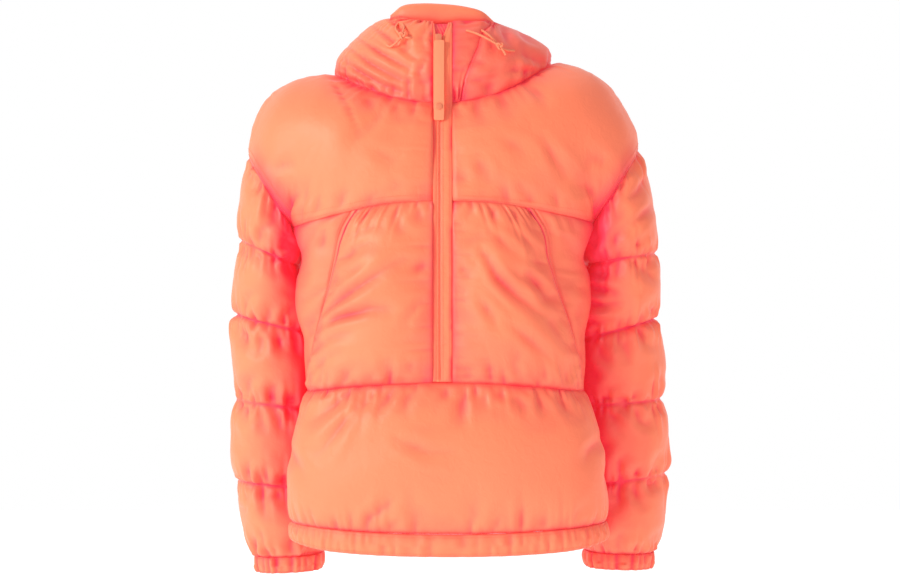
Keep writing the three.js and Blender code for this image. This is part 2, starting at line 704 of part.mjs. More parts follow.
function addHood() {
  const rows = 10;
  const roundOff = (across, rise) => pillow(rise) * pillow(across);
  // Diagonal pleats, gathered towards the zip's lower end
  const pleats = (across, rise) => {
    const wave = Math.cos(2 * Math.PI * COLLAR_PLEATS * (rise + 0.45 * across));
    return PLEAT_DEPTH * wave * pillow(rise) * smooth(1, 0.55, across) * smooth(0, 0.12, across);
  };
  addPanel("collar_right", material(CLOTH_LIGHT), {
    surface: (across, rise) => hoodPoint(-1, lerp(collarEdge(-1, rise), HOOD_SIDE, across), rise),
    columns: 14,
    rows: COLLAR_PLEATS * 3,
    innerRows: 10,
    outward: -1,
    width: 200 * (SEAM_GAP / HOOD_GAP),
    height: 120,
    puff: (across, rise) => HOOD_PUFF * roundOff(across, rise) + Math.max(pleats(across, rise), -1),
  });
  addPanel("collar_left", material(CLOTH_MID), {
    surface: (across, rise) =>
      hoodPoint(1, lerp(collarEdge(1, rise), collarSeam(rise), across), rise),
    columns: 4,
    rows,
    innerRows: rows,
    outward: 1,
    width: 30,
    height: 120,
    puff: (across, rise) => 3 * roundOff(across, rise),
  });
  addPanel("hood_left", material(CLOTH_LIGHT), {
    surface: (across, rise) => hoodPoint(1, lerp(collarSeam(rise), HOOD_SIDE, across), rise),
    columns: 12,
    rows,
    innerRows: rows,
    outward: 1,
    width: 120 * (SEAM_GAP / HOOD_GAP),
    height: 120,
    puff: (across, rise) => HOOD_PUFF * roundOff(across, rise),
  });
  addPanel("hood_back", material(CLOTH_MID), {
    surface: (across, rise) => {
      const turn = lerp(HOOD_SIDE, 360 - HOOD_SIDE, across);
      return turn < 180 ? hoodPoint(1, turn, rise) : hoodPoint(-1, 360 - turn, rise);
    },
    columns: 20,
    rows: 12,
    innerRows: 10,
    outward: 1,
    width: 300 * (SEAM_GAP / HOOD_GAP),
    height: 140,
    puff: (across, rise) => 1.6 * HOOD_PUFF * roundOff(across, rise),
  });
}

// Rolled crown band along the back of the rim
const CROWN_BAND = [
  { x: -66, y: -66, z: 103, tall: 3, deep: 4 },
  { x: -54, y: -69.5, z: 101.5, tall: 8, deep: 6 },
  { x: -30, y: -68, z: 98, tall: 13, deep: 8.5 },
  { x: 0, y: -67.5, z: 97, tall: 13.5, deep: 8.5 },
  { x: 32, y: -68, z: 95.5, tall: 11.5, deep: 8.5 },
  { x: 54, y: -69.5, z: 95.5, tall: 6, deep: 6 },
  { x: 66, y: -66, z: 97, tall: 3, deep: 4 },
];
const BAND_SIDES = 10;
const BAND_STEPS = 18;

function loftAlongX(table, sides, steps) {
  const positions = [];
  const index = [];
  const first = table[0].x;
  const last = table[table.length - 1].x;
  for (let i = 0; i <= steps; i++) {
    const x = lerp(first, last, i / steps);
    const at = (column) => tableAt(table, column, "x", x);
    for (let j = 0; j < sides; j++) {
      const turn = (2 * Math.PI * j) / sides;
      positions.push(x, at("y") + at("deep") * Math.cos(turn), at("z") + at("tall") * Math.sin(turn));
    }
  }
  for (let i = 0; i < steps; i++) {
    for (let j = 0; j < sides; j++) {
      const [a, b] = [i * sides + j, i * sides + ((j + 1) % sides)];
      index.push(a, b, b + sides, a, b + sides, a + sides);
    }
  }
  for (const end of [0, steps]) {
    const row = end * sides;
    for (let j = 1; j < sides - 1; j++) {
      index.push(row, ...(end ? [row + j, row + j + 1] : [row + j + 1, row + j]));
    }
  }
  const geometry = new THREE.BufferGeometry();
  geometry.setAttribute("position", new THREE.Float32BufferAttribute(positions, 3));
  geometry.setIndex(index);
  if (signedVolume(geometry) < 0) geometry.setIndex(index.reverse());
  geometry.computeVertexNormals();
  return geometry;
}

// Centre-front line of the zip, from the mid seam up to the chin
const CENTRE_FRONT = [
  { z: -402, y: -140 },
  { z: -300, y: -144 },
  { z: -200, y: -143 },
  { z: -161, y: -140 },
  { z: -110, y: -135 },
  { z: -60, y: -122 },
  { z: -27, y: -109 },
  { z: 12, y: -111 },
  { z: 42, y: -107 },
  { z: 66, y: -99 },
  { z: 82, y: -88 },
];
const frontDepth = (z) => tableAt(CENTRE_FRONT, "y", "z", z);
const ZIP = { bottom: -402.5, top: 60, chainX: -6, chainWidth: 5 };
const SLIDER = { width: 9, tall: 15, thick: 4, top: 66, lift: 2.6 };
const PULL = { width: 14, thick: 2.4, length: 110, lean: 7, hingeY: -111.4, hingeZ: 59 };
const SNAP = { radius: 4.6, thick: 1.4, up: 17 };
const CORD_WIDTH = 3.2;
const CORD_LIFT = 4.3;

function addStrip(name, look, strip) {
  const { from, to, bottom, top, lift, rows, columns = 2, puff = 0 } = strip;
  const width = to - from;
  addPanel(name, look, {
    surface: (across, rise) => {
      const z = lerp(bottom, top, rise);
      return new THREE.Vector3(lerp(from, to, across), frontDepth(z) - lift, z);
    },
    columns,
    rows,
    innerRows: rows,
    outward: 1,
    width,
    height: top - bottom,
    puff: (across) => puff * pillow(across),
  });
}

function addZip() {
  const edge = PLACKET_WIDTH / 2;
  const chainLeft = ZIP.chainX + ZIP.chainWidth / 2;
  const chainRight = ZIP.chainX - ZIP.chainWidth / 2;
  const common = { bottom: ZIP.bottom, top: 82, rows: 16, lift: 0 };
  addStrip("zip_tape_right", material(TRIM), { ...common, from: -edge, to: chainRight });
  addStrip("zip_placket", material(CLOTH_MID), { ...common, from: chainLeft, to: edge, puff: 1.2 });
  addStrip("zip_chain", material(TRIM, 0.5), {
    ...common, from: chainRight, to: chainLeft, top: ZIP.top, puff: 0.6,
  });
}

// A flat rounded plate, upright, whose front faces -Y
function plateGeometry(width, height, thick, round) {
  const outline = new THREE.Shape();
  const [x, z] = [width / 2, height / 2];
  outline.moveTo(-x, -z + round);
  outline.quadraticCurveTo(-x, -z, -x + round, -z);
  outline.lineTo(x - round, -z);
  outline.quadraticCurveTo(x, -z, x, -z + round);
  outline.lineTo(x, z - round);
  outline.quadraticCurveTo(x, z, x - round, z);
  outline.lineTo(-x + round, z);
  outline.quadraticCurveTo(-x, z, -x, z - round);
  const geometry = new THREE.ExtrudeGeometry(outline, {
    depth: thick,
    bevelEnabled: false,
    curveSegments: 4,
  });
  return geometry.translate(0, 0, -thick / 2).rotateX(Math.PI / 2);
}

// Slider on the chain, and the webbing pull that hangs from it with its snap
function addPull() {
  const sliderZ = SLIDER.top - SLIDER.tall / 2;
  const sliderY = frontDepth(sliderZ) - SLIDER.lift - SLIDER.thick / 2;
  const slider = plateGeometry(SLIDER.width, SLIDER.tall, SLIDER.thick, 3);
  slider.rotateX(radians(-16)).translate(ZIP.chainX, sliderY, sliderZ);
  addMesh("zip_slider", slider, material(METAL, 0.4, 0.6));

  const lean = radians(PULL.lean);
  const hang = (geometry, down, forward) =>
    geometry
      .translate(0, -forward, -down)
      .rotateX(-lean)
      .translate(ZIP.chainX + 1, PULL.hingeY, PULL.hingeZ);
  const tab = plateGeometry(PULL.width, PULL.length, PULL.thick, 3);
  addMesh("zip_pull_tab", hang(tab, PULL.length / 2 + 2, 0), material(TRIM));
  const snap = new THREE.CylinderGeometry(SNAP.radius, SNAP.radius, SNAP.thick, 20);
  const forward = PULL.thick / 2 + SNAP.thick / 2 + 0.02;
  addMesh("pull_snap", hang(snap, PULL.length - SNAP.up, forward), material(METAL, 0.4, 0.6));
}

// Drawcords of the hood's rim: routes on the cloth, lifted off it, in
// places across (x), up (z) and forward of the rim's front (out)
const CORDS = {
  drawcord_right_bow: [
    { x: -40, z: 60, out: -2.4 },
    { x: -48, z: 61, out: 4 },
    { x: -58, z: 66, out: 5 },
    { x: -64, z: 76, out: 4.4 },
    { x: -59, z: 84, out: 0 },
    { x: -53, z: 78, out: 2 },
    { x: -54, z: 68, out: 8.6 },
    { x: -60, z: 57, out: 8 },
    { x: -70, z: 49, out: 6 },
    { x: -76, z: 52, out: 4 },
  ],
  drawcord_left_upper: [
    { x: 53, z: 73, out: -5.65 },
    { x: 62, z: 66, out: 0.5 },
    { x: 70, z: 58, out: 2.5 },
    { x: 78, z: 49, out: 3 },
    { x: 88, z: 45, out: 2.5 },
    { x: 97, z: 45, out: 2 },
  ],
  drawcord_left_lower: [
    { x: 32, z: 72, out: -5.7 },
    { x: 46, z: 67, out: -0.5 },
    { x: 60, z: 60, out: 3 },
    { x: 72, z: 53, out: 5.4 },
    { x: 80, z: 46, out: 5.8 },
    { x: 85, z: 38, out: 3.5 },
  ],
};

// Depth of the hood's seam surface in front, at a place seen from the front
function hoodDepth(x, z) {
  const side = x < 0 ? -1 : 1;
  let best = { miss: Infinity, y: 0 };
  for (let rise = 0; rise <= 1; rise += 0.02) {
    for (let angle = 4; angle < 100; angle += 1.5) {
      const point = hoodPoint(side, angle, rise);
      const miss = Math.hypot(point.x - x, point.z - z);
      if (miss < best.miss) best = { miss, y: point.y };
    }
  }
  return best.y;
}

function addCords() {
  const sides = 8;
  const section = new THREE.Shape();
  for (let j = 0; j < sides; j++) {
    const turn = (2 * Math.PI * j) / sides;
    const [x, y] = [Math.cos(turn), Math.sin(turn)].map((value) => (value * CORD_WIDTH) / 2);
    if (j) section.lineTo(x, y);
    else section.moveTo(x, y);
  }
  for (const [name, route] of Object.entries(CORDS)) {
    const points = route.map(
      ({ x, z, out }) => new THREE.Vector3(x, hoodDepth(x, z) - HOOD_PUFF - CORD_LIFT - out, z),
    );
    const path = new THREE.CatmullRomCurve3(points);
    const steps = Math.round(path.getLength() / (CORD_WIDTH * 3));
    const cord = new THREE.ExtrudeGeometry(section, {
      steps,
      extrudePath: path,
      bevelEnabled: false,
    });
    addMesh(name, cord, material(TRIM));
  }
}

for (const side of [-1, 1]) {
  addYoke(side);
  addFrontPanels(side);
  addSleeve(side);
  addCuff(side);
}
addLowerPanels();
addBackMid();
addHemBand();
addHood();
addMesh("crown_band", loftAlongX(CROWN_BAND, BAND_SIDES, BAND_STEPS), material(CLOTH_LIGHT));
addZip();
addPull();
addCords();

export default jacket;
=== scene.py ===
import math

import bpy
import numpy as np
from mathutils.bvhtree import BVHTree
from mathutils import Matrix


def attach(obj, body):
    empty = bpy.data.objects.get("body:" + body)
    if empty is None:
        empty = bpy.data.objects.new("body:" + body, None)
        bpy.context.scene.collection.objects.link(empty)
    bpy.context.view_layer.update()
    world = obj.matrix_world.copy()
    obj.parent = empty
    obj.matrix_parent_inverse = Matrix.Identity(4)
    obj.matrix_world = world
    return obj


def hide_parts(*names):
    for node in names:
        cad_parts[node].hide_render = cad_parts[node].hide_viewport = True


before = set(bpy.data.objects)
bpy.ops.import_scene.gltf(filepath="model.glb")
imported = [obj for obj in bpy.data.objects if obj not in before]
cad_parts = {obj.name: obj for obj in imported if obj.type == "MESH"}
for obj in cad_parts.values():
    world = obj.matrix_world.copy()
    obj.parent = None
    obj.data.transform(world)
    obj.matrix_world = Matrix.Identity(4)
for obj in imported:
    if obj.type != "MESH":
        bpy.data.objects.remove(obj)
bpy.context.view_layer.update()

MM = 0.001

# Camera
# It stands three metres in front of the jacket, level, at the height of its middle.
EYE = (9.8, -3000, -277.2)
camera_data = bpy.data.cameras.new("camera")
camera_data.sensor_width = 36
camera_data.lens = 85.71
camera = bpy.data.objects.new("camera", camera_data)
camera.location = [value * MM for value in EYE]
camera.rotation_euler = (math.pi / 2, 0, 0)
bpy.context.scene.collection.objects.link(camera)
bpy.context.scene.camera = camera

# Drawcords of the hood
# Thin braided cords leave the rim beside the zip, hang on the collar and end in small knots.
CORD_WIDTH = 3.2
CORD_ROUTES = {
    "drawcord_right_bow": [
        (-40, -104.8, 60), (-48, -108.1, 61), (-58, -102.4, 66), (-64, -89.8, 76), (-59, -83.3, 84),
        (-53, -93.1, 78), (-54, -106.2, 68), (-60, -108.4, 57), (-70, -107.2, 49), (-76, -100.2, 52),
    ],
    "drawcord_left_upper": [
        (53, -89.8, 73), (62, -95.9, 66), (70, -98.6, 58), (78, -101.2, 49), (88, -96.8, 45),
        (97, -91.2, 45),
    ],
    "drawcord_left_lower": [
        (32, -98.4, 72), (46, -101.2, 67), (60, -104.1, 60), (72, -104.4, 53), (80, -104.8, 46),
        (85, -103.8, 38),
    ],
}
KNOTS = {"drawcord_right_bow": (-54.5, -108.5, 64), "drawcord_left_upper": (77, -105.5, 50)}


def through_points(points, steps):
    """A smooth line through points, as many steps from one to the next as asked."""
    p = np.array(points, float)
    p = np.vstack([2 * p[0] - p[1], p, 2 * p[-1] - p[-2]])
    line = []
    for a, b, c, d in zip(p[:-3], p[1:-2], p[2:-1], p[3:]):
        for t in np.arange(steps) / steps:
            line.append(0.5 * (2 * b + (c - a) * t + (2 * a - 5 * b + 4 * c - d) * t**2
                               + (3 * b - a - 3 * c + d) * t**3))
    return np.array(line + [p[-2]])


def tube_curve(name, line, width, cyclic=False):
    """A round curve of that width along a line."""
    data = bpy.data.curves.new(name, "CURVE")
    data.dimensions = "3D"
    data.bevel_depth = width / 2 * MM
    data.bevel_resolution = 3
    data.use_fill_caps = True
    spline = data.splines.new("POLY")
    spline.points.add(len(line) - 1)
    spline.use_cyclic_u = cyclic
    for place, point in zip(spline.points, line):
        place.co = (*(np.array(point) * MM), 1)
    curve = bpy.data.objects.new(name, data)
    bpy.context.scene.collection.objects.link(curve)
    return curve


def plain_material(name, colour, roughness, metallic=0.0):
    """A material of one colour, to which a piece's own pattern is added."""
    material = bpy.data.materials.new(name)
    material.use_nodes = True
    shader = material.node_tree.nodes["Principled BSDF"]
    shader.inputs["Base Color"].default_value = (*colour, 1)
    shader.inputs["Roughness"].default_value = roughness
    shader.inputs["Metallic"].default_value = metallic
    material.diffuse_color = (*colour, 1)
    return material


def overhand_knot(name, place, size, width):
    """A small tight knot, one closed loop that winds through itself."""
    turn = np.linspace(0, 2 * math.pi, 49)[:-1]
    x = np.sin(turn) + 2 * np.sin(2 * turn)
    z = np.cos(turn) - 2 * np.cos(2 * turn)
    y = -np.sin(3 * turn)
    loop = np.array(place) + size / 3 * np.column_stack([x, 0.9 * y, z])
    return tube_curve(name, loop, width, cyclic=True)


cord_braid = plain_material("braided cord", (0.95, 0.25, 0.13), 0.6)
for cord_name, route in CORD_ROUTES.items():
    line = through_points(route, 8)
    cord = tube_curve(cord_name + "_braid", line, CORD_WIDTH)
    cord.data.materials.append(cord_braid)
    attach(cord, "jacket")
    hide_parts(cord_name)
    if cord_name in KNOTS:
        knot = overhand_knot(cord_name + "_knot", KNOTS[cord_name], 4.2, 3)
        knot.data.materials.append(cord_braid)
        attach(knot, "jacket")

# Body: the form that all panels are cut to
# Sections round the body from the hem up, and the slanted rings at which the sleeves are sewn.
BODY = {
    "z": (-640, -600, -540, -480, -420, -310, -235, -205, -190, -140),
    "middle": (8, 8, 6, 6, 4, 1, -1, 0, 0, 0),
    "half": (214, 213, 206, 197, 188, 183, 185, 194, 198, 202),
    "wide": (-42, -42, -42, -42, -40, -24, -6, 4, 5, 5),
    "front": (-134, -138, -142, -142, -138, -142, -144, -143, -142, -136),
    "back": (112, 114, 116, 116, 114, 116, 116, 114, 112, 104),
    "square": (2.15, 2.15, 2.15, 2.15, 2.15, 2.3, 2.6, 2.9, 3, 3),
}
FRONT_SQUARE = 2.4
SLEEVES = {
    -1: {
        "ring": (0, 1, 2, 3, 4, 5),
        "outer_x": (268, 279, 288, 291, 291, 268),
        "outer_z": (-95, -210, -314, -434, -550, -660),
        "inner_x": (199, 201, 186, 176, 174, 175),
        "inner_z": (-207, -246, -340, -448, -560, -656),
        "y": (6, 14, 38, 56, 76, 88),
        "deep": (80, 72, 70, 69, 62, 46),
    },
    1: {
        "ring": (0, 1, 2, 3, 4, 5),
        "outer_x": (270, 294, 295, 306, 314, 300),
        "outer_z": (-86, -228, -320, -434, -541, -655),
        "inner_x": (199, 201, 190, 190, 194, 206),
        "inner_z": (-200, -243, -350, -442, -556, -653),
        "y": (6, 14, 38, 56, 76, 88),
        "deep": (80, 72, 70, 69, 62, 46),
    },
}
RING_SQUARE = 2.35
CORNER_ANGLE = (138, 222)
BODY_CORNER = (74, 116)
YOKE_SEAM_MIDDLE = (-161, -150)
MID_SEAM = (-404, -418)
HEM_SEAM = (-606, -598)


def mix(a, b, share):
    return a + (b - a) * share


def smooth(start, end, value):
    x = np.clip((np.asarray(value, float) - start) / (end - start), 0, 1)
    return x * x * (3 - 2 * x)


def pillow(value):
    return np.maximum(np.sin(np.pi * np.clip(value, 0, 1)), 0) ** 0.6


def read_table(columns, key, value):
    """Every column of a table, read smoothly at values of its key column."""
    keys = np.array(columns[key], float)
    value = np.asarray(value, float)
    last = len(keys) - 1
    i = np.clip(np.searchsorted(keys, value, side="right") - 1, 0, last - 1)
    span = keys[i + 1] - keys[i]
    x = np.clip((value - keys[i]) / span, 0, 1)
    result = {}
    for name, numbers in columns.items():
        n = np.array(numbers, float)

        def slope(j):
            before, after = np.maximum(j - 1, 0), np.minimum(j + 1, last)
            return (n[after] - n[before]) / (keys[after] - keys[before]) * span

        result[name] = ((2 * x**3 - 3 * x**2 + 1) * n[i] + (x**3 - 2 * x**2 + x) * slope(i)
                        + (3 * x**2 - 2 * x**3) * n[i + 1] + (x**3 - x**2) * slope(i + 1))
    return result


def body_point(side, angle, z):
    """A place on the body: angle 0 is the centre front and 180 the centre back."""
    angle, z = np.broadcast_arrays(np.asarray(angle, float), np.asarray(z, float))
    at = read_table(BODY, "z", z)
    sine = np.maximum(np.sin(np.radians(angle)), 0)
    cosine = np.cos(np.radians(angle))
    power = 2 / np.where(cosine > 0, FRONT_SQUARE, at["square"])
    reach = np.where(cosine > 0, at["front"], at["back"])
    x = at["middle"] + side * at["half"] * sine**power
    y = at["wide"] + (reach - at["wide"]) * np.abs(cosine) ** power
    return np.stack([x, y, z], -1)


def sleeve_point(side, ring, angle):
    """A place on a sleeve: angle 0 is the ring's outer end, 90 its front and 180 its inner end."""
    ring, angle = np.broadcast_arrays(np.asarray(ring, float), np.asarray(angle, float))
    at = read_table(SLEEVES[side], "ring", ring)
    cosine, sine = np.cos(np.radians(angle)), np.sin(np.radians(angle))
    across = np.sign(cosine) * np.abs(cosine) ** (2 / RING_SQUARE)
    deep = np.sign(sine) * np.abs(sine) ** (2 / RING_SQUARE)
    x = (at["outer_x"] + at["inner_x"]) / 2 + (at["outer_x"] - at["inner_x"]) / 2 * across
    z = (at["outer_z"] + at["inner_z"]) / 2 + (at["outer_z"] - at["inner_z"]) / 2 * across
    return np.stack([side * x, at["y"] - at["deep"] * deep, z], -1)


def armhole_angle(angle):
    share = np.clip((angle - BODY_CORNER[0]) / (BODY_CORNER[1] - BODY_CORNER[0]), 0, 1)
    return mix(CORNER_ANGLE[0], CORNER_ANGLE[1], share)


def top_height(side, angle):
    """Height of the body's upper edge, at the yoke seam and the armhole."""
    front, back = (sleeve_point(side, 0, a)[2] for a in CORNER_ANGLE)
    at_front = mix(YOKE_SEAM_MIDDLE[0], front, smooth(0, BODY_CORNER[0] + 6, angle))
    at_back = mix(YOKE_SEAM_MIDDLE[1], back, smooth(180, BODY_CORNER[1] - 6, angle))
    at_arm = sleeve_point(side, 0, armhole_angle(angle))[..., 2]
    return np.where(angle < BODY_CORNER[0], at_front, np.where(angle > BODY_CORNER[1], at_back, at_arm))


def armhole_flare(side, angle):
    """How far the upper edge stands out to meet the armhole."""
    held = np.clip(angle, *BODY_CORNER)
    flare = sleeve_point(side, 0, armhole_angle(held)) - body_point(side, held, top_height(side, held))
    share = np.where(angle < BODY_CORNER[0], smooth(22, BODY_CORNER[0], angle),
                     np.where(angle > BODY_CORNER[1], smooth(165, BODY_CORNER[1], angle), 1))
    return flare * share[..., None]


def mid_height(angle):
    return mix(*MID_SEAM, smooth(0, 80, angle))


def hem_height(angle):
    return mix(*HEM_SEAM, smooth(0, 80, angle))


def upper_body(side, angle, rise):
    """The upper body, from the seam round the middle up to the yoke seam."""
    angle = np.asarray(angle, float)
    point = body_point(side, angle, mix(mid_height(angle), top_height(side, angle), rise))
    return point + armhole_flare(side, angle) * (np.clip((rise - 0.72) / 0.28, 0, 1) ** 1.4)[..., None]


def lower_body(side, angle, rise):
    """The lower body, from the hem seam up to the seam round the middle."""
    return body_point(side, angle, mix(hem_height(angle), mid_height(angle), rise))


def both_sides(form, turn, rise):
    """A form all round, for a turn from the centre front of 0 to 360 over the wearer's left."""
    turn = np.mod(turn, 360)
    left = form(1, np.minimum(turn, 360 - turn), rise)
    right = form(-1, np.minimum(turn, 360 - turn), rise)
    return np.where((turn < 180)[..., None], left, right)


# Padded panels: how each one is cut, gathered, filled and sewn
# A panel is a grid of points on its outer cloth. Its seams hold it down, the filling swells it,
# and the spare cloth falls into gathers along the seams and a few large folds.
STEP = 5
SEAM_RISE = 1.6
LINING_DROP = 1.4
panels = []


def grid_normals(grid, outward, ring):
    """Unit normals of a grid of points, on the side that faces out."""
    around = np.concatenate([grid[:, -1:], grid, grid[:, :1]], 1) if ring else grid
    across = np.gradient(around, axis=1)
    across = across[:, 1:-1] if ring else across
    normal = np.cross(across, np.gradient(grid, axis=0)) * outward
    return normal / np.maximum(np.linalg.norm(normal, axis=-1, keepdims=True), 1e-9)


def seen_from_front(grid):
    """Where points stand in the front view, in millimetres on the plane of the origin."""
    near = (EYE[1] * -1) / (grid[..., 1] - EYE[1])
    return EYE[0] + (grid[..., 0] - EYE[0]) * near, EYE[2] + (grid[..., 2] - EYE[2]) * near


def blurred(grid, ring, times):
    for _ in range(times):
        side = np.concatenate([grid[:, -1:], grid, grid[:, :1]], 1) if ring else np.pad(
            grid, ((0, 0), (1, 1), (0, 0)), "edge")
        grid = (side[:, :-2] + 2 * side[:, 1:-1] + side[:, 2:]) / 4
        up = np.pad(grid, ((1, 1), (0, 0), (0, 0)), "edge")
        grid = (up[:-2] + 2 * up[1:-1] + up[2:]) / 4
    return grid


def fold_relief(grid, normal, folds, facing):
    """Height of large folds on the side that faces -1 front or +1 back. A fold is its depth,
    its width and the points that it runs through, from the seam that gathers it."""
    x, z = seen_from_front(grid)
    relief = np.zeros(x.shape)
    for depth, width, *line in folds:
        line = np.array(line, float)
        lengths = np.linalg.norm(np.diff(line, axis=0), axis=1)
        best = np.full(x.shape, 1e9)
        along = np.zeros(x.shape)
        before = 0
        for start, end, length in zip(line[:-1], line[1:], lengths):
            way = (end - start) / length
            s = np.clip((x - start[0]) * way[0] + (z - start[1]) * way[1], 0, length)
            gap = np.hypot(x - start[0] - way[0] * s, z - start[1] - way[1] * s)
            nearer = gap < best
            best = np.where(nearer, gap, best)
            along = np.where(nearer, (before + s) / lengths.sum(), along)
            before += length
        reach = depth * (0.3 + 0.7 * smooth(0, 0.35, along)) * (1 - along**2.2)
        broad = width * (0.8 + 0.7 * along)
        ridge = 0.35 * np.exp(-((best / broad - 2.1) / 0.9) ** 2)
        relief += 0.95 * reach * (ridge - np.exp(-((best / broad) ** 1.5)))
    return relief * smooth(-0.1, 0.35, facing * normal[..., 1])


def gathers(along, away, seed, depth=1.5):
    """Small uneven gathers beside a seam, from places along it and the distance away from it."""
    chance = np.random.default_rng(seed)
    wave = np.zeros(along.shape)
    for length in (31, 19.5, 14, 10.5):
        bend = 2 * np.sin(along / chance.uniform(25, 60) + chance.uniform(0, 6))
        wave += np.sin(2 * np.pi * along / length + bend + chance.uniform(0, 6)) * length**0.35
    reach = 8 + 4 * np.sin(along / 23 + chance.uniform(0, 6)) + 2 * np.sin(along / 9 + chance.uniform(0, 6))
    return depth * wave / 4.2 * (away / reach) * np.exp(1 - away / reach)


def slow_waves(grid, seed):
    """Soft swells of the filling, a hand's width apart."""
    chance = np.random.default_rng(seed + 100)
    wave = np.zeros(grid.shape[:2])
    for length in (150, 110, 80, 62, 48):
        way = chance.normal(size=3)
        way /= np.linalg.norm(way)
        wave += np.sin(2 * np.pi * grid @ way / length + chance.uniform(0, 6)) * (length / 110) ** 0.7
    return wave / 2


def add_panel(name, form, width, height, puff, outward=1, ring=False, quilt_rows=1, seam_rise=None,
              calm=None, folds=(), back_folds=(), gap=0.02, seed=1, slot="shell", fill=0.7, step=STEP,
              padded=True, soften=0, side_gathers=0.35, gather_depth=1.5, sway=1.6, shade=None):
    """Cuts one padded piece. form gives its points for places across and up it from 0 to 1."""
    columns = max(int(round(width / step)), 3)
    rows = quilt_rows * max(int(round(height / quilt_rows / step)), 4)
    trim = (0, 0) if ring else (gap / width, gap / height)
    u = np.arange(columns) / columns if ring else np.linspace(trim[0], 1 - trim[0], columns + 1)
    v = np.linspace(trim[1], 1 - trim[1], rows + 1)
    across, rise = np.meshgrid(u, v)
    base = form(across, rise)
    quilt = np.mod(rise * quilt_rows, 1)
    away_up = np.minimum(quilt, 1 - quilt) * height / quilt_rows
    away_side = np.full(across.shape, 1e3) if ring else np.minimum(across, 1 - across) * width
    away = np.minimum(away_up, away_side)
    if soften:
        base = base + (blurred(base, ring, soften) - base) * smooth(0, 24, away)[..., None]
    normal = grid_normals(base, outward, ring)
    lift = SEAM_RISE if seam_rise is None else seam_rise(across, rise)
    quiet = np.ones(across.shape) if calm is None else calm(across, rise)
    relief = fold_relief(base, normal, folds, -1) + fold_relief(base, normal, back_folds, 1)
    row_number = np.floor(rise * quilt_rows * 0.9999 + 0.5)
    small = gathers(across * width + 37 * row_number, away_up, seed, gather_depth)
    if not ring:
        small = small + gathers(rise * height, away_side, seed + 50, gather_depth * side_gathers)
    hold = smooth(0, 9, away)
    panels.append({
        "name": name, "base": base, "normal": normal, "outward": outward, "ring": ring,
        "away": away, "quiet": quiet, "slot": slot, "fill": fill, "padded": padded,
        "shade": np.zeros(across.shape) if shade is None else shade(across, rise),
        "start": base + normal * (lift + 0.8 * puff(across, rise))[..., None],
        "relief": ((relief + sway * slow_waves(base, seed)) * hold + small) * quiet,
        "held": away < (1.5 if padded else 1e6),
    })


# Front of the upper body
# Four panels: one on each side of the zip, and one under each arm behind the slanted pocket line.
POCKET_LINE = {"rise": (0, 0.3, 0.55, 0.8, 1), "angle": (84, 68, 54, 43, 30)}
WELT_ANGLE = 3
SIDE_SEAM = 98
PLACKET_WIDTH = 26
SIDE_NAMES = {-1: "right", 1: "left"}
MID_FOLDS = {
    -1: [
        (8.5, 6, (-157, -309), (-130, -288), (-108, -274), (-74, -249), (-45, -231)),
        (7, 5.5, (-164, -336), (-137, -319), (-99, -307), (-60, -302)),
        (5, 6, (-175, -367), (-147, -347), (-109, -336)),
        (4, 6, (-182, -399), (-153, -372), (-127, -364)),
        (5, 7, (-137, -241), (-113, -220), (-83, -207)),
        (4, 6, (-127, -210), (-105, -193), (-71, -188)),
        (4, 5, (-116, -185), (-99, -171)),
        (4, 6, (-71, -414), (-77, -389), (-71, -364)),
        (3.5, 5, (-137, -419), (-127, -395), (-108, -378)),
        (3.5, 5, (-102, -417), (-99, -395)),
        (3.5, 5, (-39, -410), (-43, -386), (-55, -367)),
        (3.5, 5, (-60, -165), (-63, -188), (-55, -207)),
        (3.5, 5, (-32, -164), (-35, -190)),
        (3, 5, (-29, -294), (-49, -319), (-55, -347)),
        (3, 5, (-25, -241), (-43, -263)),
    ],
    1: [
        (8.5, 6, (52, -225), (74, -263), (101, -291), (129, -315), (154, -337)),
        (8, 6, (115, -258), (137, -291), (164, -297)),
        (5, 6, (101, -199), (122, -224), (137, -259)),
        (4.5, 6, (66, -199), (87, -224), (108, -241)),
        (4.5, 6, (143, -325), (164, -357), (182, -367)),
        (4.5, 6, (87, -325), (119, -353), (153, -386), (178, -395)),
        (4, 6, (49, -288), (69, -322), (80, -350)),
        (4, 5, (108, -410), (97, -381), (102, -358)),
        (4, 5, (143, -412), (136, -389), (125, -367)),
        (3.5, 5, (171, -413), (167, -389)),
        (3.5, 5, (66, -412), (63, -386), (52, -364)),
        (3.5, 5, (32, -410), (35, -386)),
        (3.5, 5, (38, -162), (35, -188)),
        (3.5, 5, (73, -164), (69, -188)),
        (3.5, 5, (97, -167), (102, -193)),
        (3, 5, (21, -241), (41, -269)),
    ],
}
POCKET_FOLDS = {
    -1: [
        (5, 6, (-176, -185), (-186, -224), (-190, -259), (-193, -294)),
        (4, 5, (-158, -185), (-165, -216), (-175, -241)),
        (4, 5, (-140, -199), (-154, -227), (-161, -255)),
        (4, 5, (-164, -280), (-181, -294), (-192, -319)),
        (3.5, 5, (-175, -319), (-186, -342), (-195, -364)),
        (3.5, 5, (-189, -420), (-186, -392), (-192, -367)),
    ],
    1: [
        (4.5, 5, (164, -190), (172, -218), (181, -241)),
        (4.5, 5, (147, -185), (158, -210), (167, -227)),
        (4.5, 5, (172, -269), (186, -288), (192, -316)),
        (4, 5, (181, -302), (192, -336), (197, -358)),
        (4, 5, (195, -364), (200, -389), (203, -412)),
    ],
}


def pocket_angle(rise):
    return read_table(POCKET_LINE, "rise", rise)["angle"]


def placket_angle(side, rise):
    """Angle on the body where the placket's edge meets a panel beside it."""
    at = read_table(BODY, "z", mix(MID_SEAM[0], YOKE_SEAM_MIDDLE[0], rise))
    part = (PLACKET_WIDTH / 2 - side * at["middle"]) / at["half"]
    return np.degrees(np.arcsin(part ** (FRONT_SQUARE / 2)))


